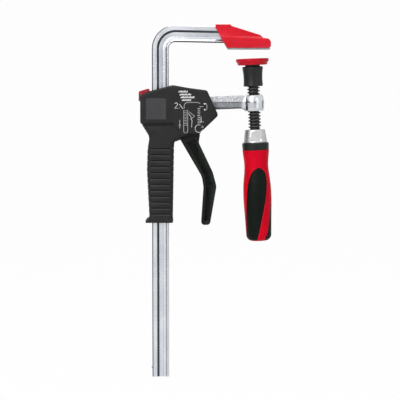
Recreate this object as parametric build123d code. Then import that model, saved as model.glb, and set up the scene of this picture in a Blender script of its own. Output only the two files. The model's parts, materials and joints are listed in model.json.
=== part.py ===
from build123d import *
import math
import os

# Quick release bar clamp, in millimetres. X points away from the rail, Z points up and
# -Y is the front. The origin is where the spindle's axis meets the fixed jaw's face.

# Fits between pieces
runFit = 0.05  # radial play of a pin or shaft that turns
slideFit = 0.3  # play of a piece that slides on the rail
seatFit = 0.1  # play of a piece that is fixed in a pocket
gap = 0.3  # air between pieces that pass each other

# Rail
throat = 79.2  # from the rail's inner face to the spindle's axis
railWidth = 16.0
railThick = 7.5
railFoot = -314.16
ribOuter = 4.0  # flat rib along the outer edge
ribInner = 3.2  # flat rib along the inner edge
grooveSlope = 1.3
grooveDepth = 1.3
railEdge = 0.5  # bevel of the rail's long edges
bendInner = 6.5
armUnder = 7.0  # underside of the rail's arm, just after the bend
armDroop = 1.2  # degrees
railEndX = 9.0
footBevel = 1.5

# Stop pin
stopRise = 8.6  # from the rail's foot
stopRadius = 1.2
stopProud = 0.9
stopDepth = 5.0

# Fixed jaw
jawHalfWidth = 13.0
jawWall = 2.0
jawFace = 22.9  # the clamping face's reach towards the rail
jawTip = 17.6
jawLand = 1.2  # height of the plate's land under the cap's rim
landInset = 0.5
flangeTopInner = 12.6
flangeTopTip = 10.2
wedgeHalfWidth = 6.2
wedgeCover = 0.55  # of the cap over the arm's top
wedgeDrop = 1.25  # step where the cap's top starts to slope
wedgeRise = 2.55  # of the slope's lower end over the flange
wedgeTipX = 10.4
wedgeCornerX = -20.0
wedgeCornerRun = 0.6
wedgeBackX = -34.9
capLean = 12.0  # run of the cap's slanted end over its whole height
jawPlateInset = 1.6
flangeRound = 1.8

# Spindle axis and the arm, both leaning out at the bottom
lean = 2.3  # degrees
threadRadius = 6.0
rootRadius = 4.55
pitch = 3.0
crestWidth = 1.0
bossRadius = 9.3
bossTop = 42.9
bossLength = 15.7
bossBevel = 1.6
beamHeight = 12.5
beamThick = 9.0
beamDrop = 6.6  # from the boss's top to the middle of the beam
gussetLength = 5.5
beamDraft = 0.4
bossRidge = 0.5
ridgeProud = 0.25
ridgeHalf = 0.3

# Pressure pad
padTop = 8.8  # from the jaw's face to the pad at rest, along the axis
padRim = 15.6
padRimHeight = 3.0
padSkirt = 14.2
padHeight = 6.0
padWall = 1.5
plateHeight = 4.1
ballRadius = 3.2
cupWall = 1.1
ballFloor = 0.6  # metal left under the ball cup
cupHeight = 1.5  # of the cup past the ball's centre
hubRadius = 7.05
hubDepth = 3.0  # below the ball's centre
neckRadius = 2.1

# Sleeve under the pad
sleeveAir = 1.4  # from the pad's skirt to the sleeve
sleeveLength = 18.9
sleeveTopRadius = 9.9
sleeveWaist = 9.0
sleeveFootRadius = 9.3
dishAir = 0.85  # round the hub, which tilts in the dish
dishDepth = 5.1
journalRadius = 4.4
skirtDepth = 5.6  # the counterbore that covers the end of the thread
clipThick = 0.8
clipWidth = 1.6
clipGroove = 0.6
clipLip = 0.9

# Handle
ferruleTop = 76.3
ferruleLength = 12.3
ferruleTopRadius = 9.5
ferruleFootRadius = 11.3
ferruleFlat = 9.1  # from the axis to a flat
flatWidth = 10.2
collarLength = 7.3
collarRadius = 12.85
collarTaper = 0.3
handleLength = 86.9
handleShoulderAt = 6.4
handleWaistAt = 13.3
handleBellyAt = 30.5
handleTailAt = 60.0
handleNeck = 12.75
handleShoulder = 12.05
handleWaist = 11.45
handleBelly = 13.0
handleTail = 13.0
handleFoot = 12.1
handleRound = 5.5
insertDepth = 1.6
insertFit = 0.05
tangRadius = 4.0
tangLength = 60.0  # past the ferrule
tangPinRadius = 1.5
tangPinHalf = 8.0
tangPinBack = 16.7  # from the tang's end
flatHeight = 9.2
flatRise = 1.8  # from the ferrule's top to its flats
insertSink = 0.15

# Carriage casing. The carriage is drawn about the point where the arm's middle line
# crosses the rail's: reaches are measured from the rail's nearer side, heights from there.
upperHalf = 13.5
gripHalf = 12.0
casingWall = 2.6
upperRound = 2.4
gripRound = 4.0
casingReach = 11.0
noseReach = 47.25
stepZ = -17.8  # where the thick upper body steps in to the grip
neckHeight = 2.5  # groove under the step
neckDepth = 1.6
neckReach = 4.8
gripFoot = -111.8
gripBackWall = 4.2
gripFrontWall = 4.9
gripTaper = 1.3  # of its front edge over its whole length
gripFlange = 3.6
flangeProud = 0.4
ribPitch = 5.66
grooveCount = 12
ribTopZ = -37.3
grooveTopZ = -41.2  # the highest groove
grooveWidth = 1.1
grooveSink = 0.7
panelWidth = 19.2
bayRib = 3.0
bayCount = 5
bayHalf = 8.6

# Arm block around the rail
blockTop = 3.4
blockHeight = 13.9
blockBack = 3.4
blockFront = 6.2
blockHalf = 9.0
blockBevel = 1.2

# Brake plate, tilted about the top of its front end
brakeHeight = 3.0
brakeAir = 0.7  # from the arm block to the plate
brakeTilt = 5.0  # degrees
pivotReach = 4.2
brakeTail = 28.0
brakeShoulder = 23.4
brakeHalf = 9.2
tailHalf = 5.0
brakePlay = 0.1

# Drive plates
driveHeight = 3.0
driveCount = 2
driveHalf = 8.8
driveBevel = 1.0
tongueHalf = 3.9
tongueStep = 1.7
tongueReach = 25.8
driveStroke = 3.7

# Lever
leverHalf = 7.5
leverLength = 90.75  # below its pin
leverPinReach = 12.2
leverPinZ = -23.3
leverPinRadius = 2.0
pusherReach = 10.8  # from the lever's pin
pusherRadius = 2.0
forkWall = 1.15
forkSide = 4.0
forkHalf = 4.4
forkFoot = -7.0  # from the lever's pin
pocketDepth = 5.0
cheekAir = 0.4

# Release button
buttonHalf = 8.0
buttonProud = 1.5
buttonLength = 10.3
buttonTop = 15.9
buttonUnder = 10.0
buttonFoot = 3.9
buttonTravel = 2.4
buttonAir = 0.2
legWidth = 2.4
legLength = 3.8
lugProud = 2.0
lugHeight = 1.0

# Springs
driveSpringReach = 4.9
driveSpringRadius = 2.0
driveSpringLength = 9.4
driveWire = 0.7
driveTurns = 5
brakeSpringReach = 6.1
brakeSpringRadius = 1.45
brakeSpringFoot = -3.8
brakeWire = 0.5
brakeTurns = 7
springAir = 0.02

# Casing screws, driven in from the back
screwRadius = 1.4
screwHeadRadius = 2.7
screwHeadHeight = 1.9
screwSink = 0.4
screwBite = 0.02
screwBoss = 2.9
screwReach = 8.5
recessLength = 3.4
recessWidth = 0.7
recessDepth = 0.8
armScrewReach = 18.7
noseScrewZ = -11.3

# Places that follow from the sizes above
railOuter = -throat - railWidth
railHalf = railWidth / 2
railMiddle = -throat - railHalf
armTop = armUnder + railWidth
wedgeTop = armTop + wedgeCover
bendOuter = bendInner + railWidth
bendZ = armTop - bendOuter
stopZ = railFoot + stopRise
leanTan = math.tan(math.radians(lean))
beamAt = bossTop + beamDrop
beamReach = throat + gap
carriageZ = railMiddle * leanTan - beamAt / math.cos(math.radians(lean))
ballDepth = padWall + ballFloor + ballRadius + cupWall + 2 * runFit
ballAt = padTop + ballDepth
sleeveTopAt = padTop + padHeight + sleeveAir
dishRadius = hubRadius + dishAir
clipAt = sleeveTopAt + dishDepth - clipThick - seatFit
ferruleFootAt = ferruleTop + ferruleLength
handleTopAt = ferruleFootAt + collarLength
tangPinAt = ferruleFootAt + tangLength - tangPinBack
casingLeft = -railHalf - casingReach
noseX = railHalf + noseReach
gripLeft = -railHalf - gripBackWall
gripRight = railHalf + gripFrontWall
blockLeft = -railHalf - blockBack
blockRight = railHalf + blockFront
blockFoot = blockTop - blockHeight
brakePivotX = railHalf + pivotReach
brakePivotZ = blockTop + brakeAir + brakeHeight
driveTop = blockFoot - gap
driveFoot = driveTop - driveCount * driveHeight
tongueShoulder = railHalf + tongueStep
leverPinX = railHalf + leverPinReach
pusherX = leverPinX + pusherReach
pusherZ = driveTop + pusherRadius + runFit
buttonLeft = casingLeft - buttonProud
buttonRight = buttonLeft + buttonLength
buttonFloor = buttonUnder - buttonTravel - gap
driveSpringX = railHalf + driveSpringReach
driveSpringFoot = driveFoot - driveSpringLength
brakeSpringX = -railHalf - brakeSpringReach
armScrewX = railHalf + armScrewReach
screwSpots = [
    (armScrewX, armScrewX * leanTan, upperHalf),
    (noseX - 12.0, noseScrewZ, upperHalf),
    (casingLeft + 4.7, stepZ + 5.4, upperHalf),
    (gripRight, leverPinZ - 7.9, gripHalf),
]
axisFrame = Plane(
    origin=(0, 0, 0),
    x_dir=(math.cos(math.radians(lean)), 0, math.sin(math.radians(lean))),
    z_dir=(math.sin(math.radians(lean)), 0, -math.cos(math.radians(lean))),
)


def flat(points):
    """A face in the XZ plane from straight runs between (x, z) points."""
    return Plane.XZ * make_face(Polyline(*points, close=True))


def rounded(corners):
    """A face in the XZ plane from (x, z, radius) corners."""
    points = [(x, z) for x, z, r in corners]
    radii = [r for x, z, r in corners]
    return Plane.XZ * make_face(FilletPolyline(*points, radius=radii, close=True))


def slab(face, halfWidth):
    """A face in the XZ plane made solid to both sides of it."""
    return extrude(face, halfWidth, both=True)


def turned(points):
    """A solid of revolution about Z from (radius, z) points."""
    return revolve(flat(points), Axis.Z)


def block(x0, x1, halfY, z0, z1):
    """A box between two x and two z values, centred on Y."""
    return Pos((x0 + x1) / 2, 0, (z0 + z1) / 2) * Box(x1 - x0, 2 * halfY, z1 - z0)


def crossRod(x, z, radius, halfLength):
    """A round rod along Y."""
    return Pos(x, 0, z) * Rot(90, 0, 0) * Cylinder(radius, 2 * halfLength)


def onAxis(shape):
    """Puts a shape made about Z, with z measured down the spindle, on its leaning axis."""
    return axisFrame.location * shape


def onRail(shape):
    """Puts a shape that is drawn about the carriage's own origin in its place."""
    return Pos(railMiddle, 0, carriageZ) * shape


# ---------------------------------------------------------------- rail and fixed jaw

def railSection():
    half = railWidth / 2
    y = railThick / 2
    floor = y - grooveDepth
    side = [
        (-half + railEdge, y),
        (-half + ribOuter, y),
        (-half + ribOuter + grooveSlope, floor),
        (half - ribInner - grooveSlope, floor),
        (half - ribInner, y),
        (half - railEdge, y),
        (half, y - railEdge),
    ]
    other = [(x, -z) for x, z in reversed(side)]
    return make_face(Polyline(*side, *other, (-half, -y + railEdge), (-half, y - railEdge), close=True))


def armLine(x, below=0.0):
    """Height of the rail's arm at x, measured from its top edge down."""
    slope = math.tan(math.radians(armDroop))
    return armTop - below - (x - railOuter - bendOuter) * slope


def wedgeLine(x):
    """Height of the cap's sloping top at x."""
    share = (x - wedgeCornerX) / (wedgeTipX - wedgeCornerX)
    start = wedgeTop - wedgeDrop
    return start + (flangeTopTip + wedgeRise - start) * share


def rail():
    radius = bendInner + railWidth / 2
    turn = 90 + armDroop
    centre = (railMiddle + radius, bendZ)
    start = (railMiddle, railFoot)
    bendStart = (railMiddle, bendZ)

    def onBend(degrees):
        a = math.radians(180 - degrees)
        return (centre[0] + radius * math.cos(a), centre[1] + radius * math.sin(a))

    bendEnd = onBend(turn)
    run = railEndX - bendEnd[0]
    end = (railEndX, bendEnd[1] - run * math.tan(math.radians(armDroop)))
    path = Plane.XZ * (
        Line(start, bendStart) + ThreePointArc(bendStart, onBend(turn / 2), bendEnd) + Line(bendEnd, end)
    )
    section = Plane((railMiddle, 0, railFoot)) * railSection()
    bar = sweep(section, path)
    # the arm's end is forged down to the cap's slope
    slope = [
        (wedgeCornerX - 2, wedgeLine(wedgeCornerX - 2) - jawWall - gap),
        (railEndX + 5, wedgeLine(railEndX + 5) - jawWall - gap),
        (railEndX + 5, armTop + 10),
        (wedgeCornerX - 2, armTop + 10),
    ]
    bar -= slab(flat(slope), railThick)
    corner = [
        (railOuter - 1, railFoot - 1),
        (railOuter + footBevel, railFoot - 1),
        (railOuter + footBevel, railFoot),
        (railOuter, railFoot + footBevel),
        (railOuter - 1, railFoot + footBevel),
    ]
    bar -= slab(flat(corner), railThick)
    bar -= mirror(slab(flat(corner), railThick), Plane.YZ.offset(railMiddle))
    bar -= stopHole()
    return bar


def stopHole():
    return Pos(railOuter + stopDepth / 2, 0, stopZ) * Rot(0, 90, 0) * Cylinder(stopRadius, stopDepth)


def stopPin():
    length = stopDepth + stopProud
    return Pos(railOuter - stopProud + length / 2, 0, stopZ) * Rot(0, 90, 0) * Cylinder(stopRadius, length)


def jawBack(z):
    """X of the cap's slanted end at height z."""
    return -jawFace - capLean * z / wedgeTop


def capOutline():
    return rounded([
        (wedgeBackX, wedgeTop, 0.8),
        (wedgeBackX, wedgeTop - 3.0, 1.0),
        (jawBack(flangeTopInner) - 1.0, flangeTopInner, 0),
        (jawBack(flangeTopInner) - 1.0 + 3, jawLand + 4.0, 0),
        (wedgeTipX, jawLand + 4.0, 0),
        (wedgeTipX, flangeTopTip + 1.0, 0),
        (wedgeTipX - 2.6, wedgeLine(wedgeTipX - 2.6), 2.0),
        (wedgeCornerX + wedgeCornerRun, wedgeLine(wedgeCornerX + wedgeCornerRun), 0.8),
        (wedgeCornerX - wedgeCornerRun, wedgeTop, 0.4),
    ])


def flangeHull():
    """A long bar whose top follows the flange's slope, with its long edges rounded."""
    reach = jawTip - jawBack(flangeTopInner)
    angle = math.degrees(math.atan((flangeTopInner - flangeTopTip) / reach))
    bar = Box(3 * reach, 2 * jawHalfWidth, 40)
    bar = fillet(bar.edges().filter_by(Axis.X).filter_by(lambda e: e.center().Z > 0), flangeRound)
    return Pos(jawTip, 0, flangeTopTip) * Rot(0, angle, 0) * Pos(0, 0, -20) * bar


def jawCap():
    flange = rounded([
        (jawBack(jawLand), jawLand, 0.5),
        (jawBack(flangeTopInner) - 0.6, flangeTopInner, 0.5),
        (jawTip - 2.4, flangeTopTip, 2.6),
        (jawTip, flangeTopTip - 3.0, 2.2),
        (jawTip, jawLand + 1.4, 1.2),
        (jawTip - 1.4, jawLand, 0.6),
    ])
    flange = slab(flange, jawHalfWidth) & flangeHull()
    wedge = slab(capOutline(), wedgeHalfWidth)
    wedgeRim = wedge.edges().filter_by(
        lambda e: abs(abs(e.center().Y) - wedgeHalfWidth) < 0.01 and e.center().Z > flangeTopInner + 2
    )
    wedge = fillet(wedgeRim, 1.0)
    cap = flange + wedge
    armHole = [
        (wedgeBackX - 10, jawLand - 1),
        (railEndX + gap, jawLand - 1),
        (railEndX + gap, wedgeLine(railEndX + gap) - jawWall),
        (wedgeCornerX - 2, wedgeLine(wedgeCornerX - 2) - jawWall),
        (wedgeCornerX - 2, armLine(wedgeCornerX - 2) + gap),
        (wedgeBackX - 10, armLine(wedgeBackX - 10) + gap),
    ]
    cap -= slab(flat(armHole), railThick / 2 + gap)
    cap -= slab(jawPlateFace(seatFit), jawHalfWidth - jawWall)
    cap -= slab(flat([
        (wedgeBackX, jawLand - 1),
        (-jawFace - 1, jawLand - 1),
        (-jawFace - 1, armLine(-jawFace, railWidth) + seatFit),
        (wedgeBackX, armLine(-jawFace, railWidth) + seatFit),
    ]), jawHalfWidth - jawWall)
    return cap


def jawPlateFace(play):
    """The plate's core inside the cap, from the clamping face to the arm's underside."""
    left = -jawFace - 0.6
    right = jawTip - jawWall - jawPlateInset
    return flat([
        (left - play, -play),
        (right + play, -play),
        (right + play, armLine(right, railWidth) + play),
        (left - play, armLine(left, railWidth) + play),
    ])


def jawPlate():
    """The plate: a core in the cap and a wider land under the cap's rim."""
    core = slab(jawPlateFace(0), jawHalfWidth - jawWall - seatFit)
    core &= block(-jawFace, jawTip, jawHalfWidth, 0, armTop)
    rim = jawLand - seatFit
    land = slab(flat([
        (-jawFace, 0), (jawTip - 2 * landInset, 0), (jawTip - landInset, rim), (jawBack(rim), rim),
    ]), jawHalfWidth - landInset)
    return core + land


# ---------------------------------------------------------------- spindle, pad and handle

def padCap():
    z0 = padTop
    body = turned([
        (0, z0), (padRim - 0.5, z0), (padRim, z0 + 0.5), (padRim - 0.5, z0 + padRimHeight - 0.4),
        (padRim - 0.6, z0 + padRimHeight + 0.2), (padSkirt + 0.4, z0 + padRimHeight + 0.5),
        (padSkirt - 0.3, z0 + padHeight - 0.3), (padSkirt - 0.6, z0 + padHeight), (0, z0 + padHeight),
    ])
    plateRadius = padSkirt - padWall
    body -= Pos(0, 0, z0 + padWall + 20) * Cylinder(plateRadius - 0.8 + seatFit, 40)
    seat = Cylinder(plateRadius + seatFit, plateHeight + 2 * seatFit)
    body -= Pos(0, 0, z0 + padWall + plateHeight / 2) * seat
    return onAxis(body)


def padPlate():
    top = padTop + padWall
    radius = padSkirt - padWall
    body = turned([
        (0, top), (radius, top), (radius, top + plateHeight), (hubRadius, top + plateHeight),
        (hubRadius, ballAt + hubDepth), (0, ballAt + hubDepth),
    ])
    body -= Pos(0, 0, ballAt) * Sphere(ballRadius + cupWall + 2 * runFit)
    body -= Pos(0, 0, ballAt + 10) * Cylinder(ballRadius + 0.9, 20)
    return onAxis(body)


def ballCup():
    """A split ball seat with a small hole at its floor."""
    body = Sphere(ballRadius + cupWall + runFit) - Sphere(ballRadius + runFit)
    body -= Pos(0, 0, cupHeight + 10) * Cylinder(20, 20)
    body -= Pos(0, 0, -10) * Cylinder(1.2, 20)
    return onAxis(Pos(0, 0, ballAt) * body)


def padSleeve():
    top = sleeveTopAt
    foot = top + sleeveLength
    wall = Plane.XZ * make_face(
        Line((0, top), (sleeveTopRadius - 1.3, top))
        + RadiusArc((sleeveTopRadius - 1.3, top), (sleeveTopRadius, top + 1.6), 1.7)
        + ThreePointArc(
            (sleeveTopRadius, top + 1.6), (sleeveWaist, top + 11.0), (sleeveFootRadius, foot - 0.5)
        )
        + Line((sleeveFootRadius, foot - 0.5), (sleeveFootRadius - 0.5, foot))
        + Line((sleeveFootRadius - 0.5, foot), (0, foot))
        + Line((0, foot), (0, top))
    )
    body = revolve(wall, Axis.Z)
    body -= Pos(0, 0, top + dishDepth / 2 - 5) * Cylinder(dishRadius, dishDepth + 10)
    body -= Pos(0, 0, top + 15) * Cylinder(journalRadius + runFit, 40)
    body -= Pos(0, 0, foot - skirtDepth / 2 + 5) * Cylinder(threadRadius + gap, skirtDepth + 10)
    return onAxis(body)


def sleeveClip():
    inner = journalRadius - clipGroove
    ring = turned([
        (inner, clipAt), (journalRadius + clipWidth, clipAt),
        (journalRadius + clipWidth, clipAt + clipThick), (inner, clipAt + clipThick),
    ])
    ring -= Pos(10, 0, clipAt) * Box(20, 2.2, 10)
    return onAxis(ring)


def threadRun(start, end):
    """A right-hand trapezoidal tooth wound on the core, from start to end down the axis."""
    flank = (threadRadius - rootRadius) * math.tan(math.radians(15))
    deep = 0.25
    half = crestWidth / 2
    tooth = Polyline(
        (rootRadius - deep, -half - flank), (threadRadius, -half),
        (threadRadius, half), (rootRadius - deep, half + flank), close=True,
    )
    path = Helix(pitch, end - start, rootRadius, center=(0, 0, start))
    section = Plane(origin=(0, 0, start), x_dir=(1, 0, 0), z_dir=path % 0) * make_face(tooth)
    return sweep(section, path, is_frenet=True)


def spindle():
    shoulder = sleeveTopAt + sleeveLength - skirtDepth + gap
    threadEnd = ferruleTop + 0.6
    tangEnd = ferruleFootAt + tangLength
    lipAt = clipAt - clipLip
    core = turned([
        (0, ballAt), (neckRadius, ballAt), (neckRadius, lipAt - 0.6),
        (journalRadius - 0.3, lipAt), (journalRadius - 0.3, clipAt), (journalRadius - clipGroove, clipAt),
        (journalRadius - clipGroove, clipAt + clipThick), (journalRadius, clipAt + clipThick),
        (journalRadius, shoulder), (rootRadius, shoulder + 0.1), (rootRadius, threadEnd),
        (tangRadius, threadEnd + 0.5), (tangRadius, tangEnd - 1), (tangRadius - 1, tangEnd), (0, tangEnd),
    ])
    core += Pos(0, 0, ballAt) * Sphere(ballRadius)
    screw = core + threadRun(shoulder + crestWidth + 0.4, threadEnd - crestWidth - 0.4)
    screw -= crossRod(0, tangPinAt, tangPinRadius, 20)
    return onAxis(screw)


def tangPin():
    return onAxis(crossRod(0, tangPinAt, tangPinRadius, tangPinHalf))


def handleFerrule():
    body = turned([
        (0, ferruleTop), (ferruleTopRadius - 0.7, ferruleTop), (ferruleTopRadius, ferruleTop + 0.7),
        (ferruleFootRadius, ferruleFootAt), (0, ferruleFootAt),
    ])
    flats = Box(flatWidth, 4 * ferruleFlat, flatHeight) - Box(flatWidth, 2 * ferruleFlat, flatHeight)
    body -= Pos(0, 0, ferruleTop + flatRise + flatHeight / 2) * flats
    body -= Pos(0, 0, ferruleTop) * Cylinder(tangRadius + runFit, 60)
    body -= Pos(0, 0, ferruleTop) * Cylinder(rootRadius + seatFit, 2 * 1.2)
    return onAxis(body)


def handleCollar():
    body = turned([
        (0, ferruleFootAt), (collarRadius - 0.9, ferruleFootAt), (collarRadius, ferruleFootAt + 1.1),
        (collarRadius - collarTaper, handleTopAt), (0, handleTopAt),
    ])
    return onAxis(body - Pos(0, 0, ferruleFootAt) * Cylinder(tangRadius + runFit, 60))


def handleShape(shrink):
    """The handle's turned form, made smaller all round by shrink."""
    foot = handleTopAt + handleLength
    neck = (handleNeck - shrink, handleTopAt)
    tail = (handleFoot - shrink, foot - handleRound - shrink / 2)
    side = Spline(
        neck,
        (handleShoulder - shrink, handleTopAt + handleShoulderAt),
        (handleWaist - shrink, handleTopAt + handleWaistAt),
        (handleBelly - shrink, handleTopAt + handleBellyAt),
        (handleTail - shrink, handleTopAt + handleTailAt),
        tail,
    )
    end = ThreePointArc(
        tail,
        (handleFoot - shrink - 0.3 * handleRound, foot - shrink - 0.3 * handleRound),
        (handleFoot - 0.9 * handleRound - shrink, foot - shrink),
    )
    closing = Polyline(end @ 1, (0, foot - shrink), (0, handleTopAt), neck)
    return revolve(Plane.XZ * make_face(side + end + closing), Axis.Z)


def insertPrism(play):
    """One insert's slanted outline, cut straight through the handle's front."""
    top = handleTopAt
    foot = top + handleLength - 0.9
    left = Spline(
        (1.6, top + 16.5 + play), (-4.6 + play, top + 21.0), (-8.0 + play, top + 28.5),
        (-10.3 + play, top + 44.5), (-11.4 + play, top + 60.0), (-12.0 + play, foot - play),
    )
    right = Spline(
        (-2.3 - play, foot - play), (1.7 - play, top + 72.0), (4.5 - play, top + 60.0),
        (7.7 - play, top + 44.5), (9.0 - play, top + 29.0), (7.3 - play, top + 20.8),
        (1.6, top + 16.5 + play),
    )
    outline = make_face(left + Line(left @ 1, right @ 0) + right)
    return extrude(Plane.XZ * outline, -30)


def handleParts():
    """The red handle and its three soft inserts, in that order."""
    outer = handleShape(0)
    inner = handleShape(insertDepth)
    pockets = insertPrism(0) - inner
    insert = (insertPrism(insertFit) & handleShape(insertSink)) - handleShape(insertDepth - insertFit)
    body = outer
    inserts = []
    for i in range(3):
        turn = Rot(0, 0, 120 * i)
        body -= turn * pockets
        inserts.append(onAxis(turn * insert))
    bore = ferruleFootAt + tangLength + gap
    body -= Pos(0, 0, bore / 2) * Cylinder(tangRadius + runFit, bore)
    body -= crossRod(0, tangPinAt, tangPinRadius, tangPinHalf + runFit)
    return [onAxis(body)] + inserts


# ---------------------------------------------------------------- sliding arm

def alongArm(x0, x1, halfY, s0, s1):
    """A box in the spindle's frame: x out from the axis, s down it."""
    return onAxis(block(x0, x1, halfY, s0, s1))


def beam(play=0.0):
    """The forged beam, widest at its parting line and drafted up and down."""
    half = beamHeight / 2 + play
    mid = beamThick / 2 + beamDraft + play
    edge = beamThick / 2 - beamDraft + play
    section = Plane.YZ * make_face(Polyline(
        (-edge, beamAt - half), (edge, beamAt - half), (mid, beamAt),
        (edge, beamAt + half), (-edge, beamAt + half), (-mid, beamAt), close=True,
    ))
    return onAxis(Pos(-beamReach, 0, 0) * extrude(section, beamReach))


def partingRidge(play=0.0):
    """The thin forging ridge along the beam's widest line."""
    side = beamThick / 2 + beamDraft + ridgeProud + play
    height = ridgeHalf + play
    return alongArm(-beamReach + 1, -bossRadius - 2.6, side, beamAt - height, beamAt + height)


def slidingArm():
    foot = bossTop + bossLength
    boss = onAxis(turned([
        (0, bossTop), (bossRadius - bossBevel - 0.3, bossTop), (bossRadius - 0.3, bossTop + bossBevel),
        (bossRadius + bossRidge, beamAt), (bossRadius, foot - 0.9), (bossRadius - 0.9, foot), (0, foot),
    ]))
    # a web that carries the beam's lower edge down to the boss
    web = onAxis(slab(flat([
        (-bossRadius - gussetLength, beamAt + beamHeight / 2 - 0.5), (-bossRadius - gussetLength + 2, beamAt),
        (-2, beamAt), (-2, foot - 0.6), (-bossRadius + 0.6, foot - 0.6),
        (-bossRadius - 1.0, beamAt + beamHeight / 2 + 0.9),
    ]), beamThick / 2 - 0.3))
    arm = boss + beam() + web + partingRidge()
    arm -= onRail(block(railHalf - 1, blockRight + 0.5, 12, blockTop, blockTop + 30))
    housing = block(blockLeft, blockRight, blockHalf, blockFoot, blockTop)
    arm += onRail(chamfer(housing.edges().filter_by(Axis.Z), blockBevel))
    arm -= onRail(railSlot(blockFoot - 1, blockTop + 1))
    arm -= onAxis(Pos(0, 0, bossTop + bossLength / 2) * Cylinder(threadRadius + runFit, bossLength + 4))
    x, z, face = screwSpots[0]
    return arm - onRail(crossRod(x, z, screwRadius + seatFit, 20))


def railSlot(z0, z1):
    """The room that a piece leaves around the rail, between two heights."""
    return block(-railHalf - slideFit, railHalf + slideFit, railThick / 2 + slideFit, z0, z1)


# ---------------------------------------------------------------- clamping mechanism

def brakePlate():
    """Drawn level about its pivot, then tilted."""
    lift = math.radians(brakeTilt)
    window = railWidth / math.cos(lift) + brakeHeight * math.tan(lift) + 2 * brakePlay
    plate = block(-brakeShoulder, 0.4, brakeHalf, -brakeHeight, 0)
    plate += block(-brakeTail, 1 - brakeShoulder, tailHalf, -brakeHeight, 0)
    centre = -brakePivotX / math.cos(lift) + brakeHeight / 2 * math.tan(lift)
    plate -= Pos(centre, 0, 0) * Box(window, railThick + 2 * slideFit, 20)
    return onRail(Pos(brakePivotX, 0, brakePivotZ) * Rot(0, brakeTilt, 0) * plate)


def drivePlates():
    stack = []
    for i in range(driveCount):
        z1 = driveTop - i * driveHeight
        z0 = z1 - driveHeight
        plate = block(blockLeft, tongueShoulder, driveHalf, z0, z1)
        plate = chamfer(plate.edges().filter_by(Axis.Z), driveBevel)
        plate += block(tongueShoulder - 1, railHalf + tongueReach, tongueHalf, z0, z1)
        stack.append(onRail(plate - railSlot(z0 - 1, z1 + 1)))
    return Compound(children=stack)


def leverOutline():
    """Corners of the lever's side, measured from its pin."""
    foot = -leverLength
    forkTop = pusherZ + pusherRadius + forkWall - leverPinZ
    return [
        (-2.0, -8.0, 2.0), (19.3, -44.5, 16.0), (20.9, -55.0, 12.0), (18.5, foot, 3.0), (27.0, foot, 3.2),
        (33.3, -54.0, 9.0), (29.9, -41.1, 12.0), (16.3, -12.5, 6.0), (17.5, -5.3, 0.8),
        (pusherReach + forkSide, 4.5, 0), (pusherReach + forkSide, forkTop, 2.8),
        (pusherReach - forkSide, forkTop, 2.8), (5.0, 6.5, 2.0), (-3.3, 4.3, 3.0), (-3.3, -4.0, 2.0),
    ]


def pocketOutline():
    """Corners of the hollow in each of the lever's sides, measured from its pin."""
    foot = 3.2 - leverLength
    return [
        (4.2, -10.9, 1.5), (21.9, -43.5, 14.0), (23.5, -54.0, 12.0), (21.4, foot, 1.2), (25.6, foot, 1.2),
        (30.6, -53.5, 8.0), (27.6, -42.5, 12.0), (14.0, -13.1, 3.0), (14.0, -8.5, 1.5),
    ]


def lever():
    body = slab(rounded(leverOutline()), leverHalf)
    body -= block(-8, pusherReach + 2 * forkSide, forkHalf, forkFoot, 30)
    hollow = Pos(0, pocketDepth - leverHalf, 0) * extrude(rounded(pocketOutline()), 20)
    body -= hollow
    body -= mirror(hollow, Plane.XZ)
    body -= crossRod(0, 0, leverPinRadius + runFit, 20)
    body = Pos(leverPinX, 0, leverPinZ) * body
    return onRail(body - crossRod(pusherX, pusherZ, pusherRadius, 20))


def leverPin():
    return onRail(crossRod(leverPinX, leverPinZ, leverPinRadius, upperHalf - casingWall - gap))


def pusherPin():
    return onRail(crossRod(pusherX, pusherZ, pusherRadius, leverHalf))


def coil(x, radius, wire, foot, top, turns):
    """A compression spring standing along Z, with its ends inside its length."""
    height = top - foot - wire - 2 * springAir
    path = Helix(height / turns, height, radius, center=(0, 0, 0))
    section = Plane(origin=path @ 0, z_dir=path % 0) * Circle(wire / 2)
    return onRail(Pos(x, 0, foot + wire / 2 + springAir) * sweep(section, path, is_frenet=True))


def driveSpring():
    return coil(driveSpringX, driveSpringRadius, driveWire, driveSpringFoot, driveFoot - 0.1, driveTurns)


def brakeSpring():
    lift = math.radians(brakeTilt)
    under = brakePivotZ + (brakePivotX - brakeSpringX) * math.tan(lift) - brakeHeight / math.cos(lift)
    return coil(brakeSpringX, brakeSpringRadius, brakeWire, brakeSpringFoot, under - gap, brakeTurns)


def releaseButton():
    """The button's cap, its pusher on the brake plate's tail and the legs that keep it in."""
    tip = brakePivotZ + brakeTail * math.sin(math.radians(brakeTilt))
    lip = casingLeft - 0.25
    back = buttonRight - 5.7
    front = buttonRight - 1.5
    button = slab(rounded([
        (buttonLeft, buttonFoot, 0.5), (buttonLeft, buttonTop - 2.7, 1.5),
        (buttonRight - 1.0, buttonTop, 0.8), (buttonRight, buttonTop - 2.4, 0.3),
        (front, buttonTop - 3.0, 0.3), (front, tip + 0.5, 0.3), (back, tip + 0.1, 0.3),
        (back, buttonUnder + 0.8, 0.3), (lip, buttonUnder, 0.5), (lip, buttonFoot, 0.4),
    ]), buttonHalf)
    lugTop = buttonFloor - gap
    legs = (back + 0.2, back + 0.2 + legLength)
    for side in (-1, 1):
        leg = block(*legs, legWidth / 2, lugTop - lugHeight, tip + 1.0)
        button += Pos(0, side * (buttonHalf - legWidth / 2), 0) * leg
        lug = block(*legs, lugProud / 2 + 0.5, lugTop - lugHeight, lugTop)
        button += Pos(0, side * (buttonHalf + lugProud / 2 - 0.5), 0) * lug
    return onRail(button)


# ---------------------------------------------------------------- casing

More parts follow.
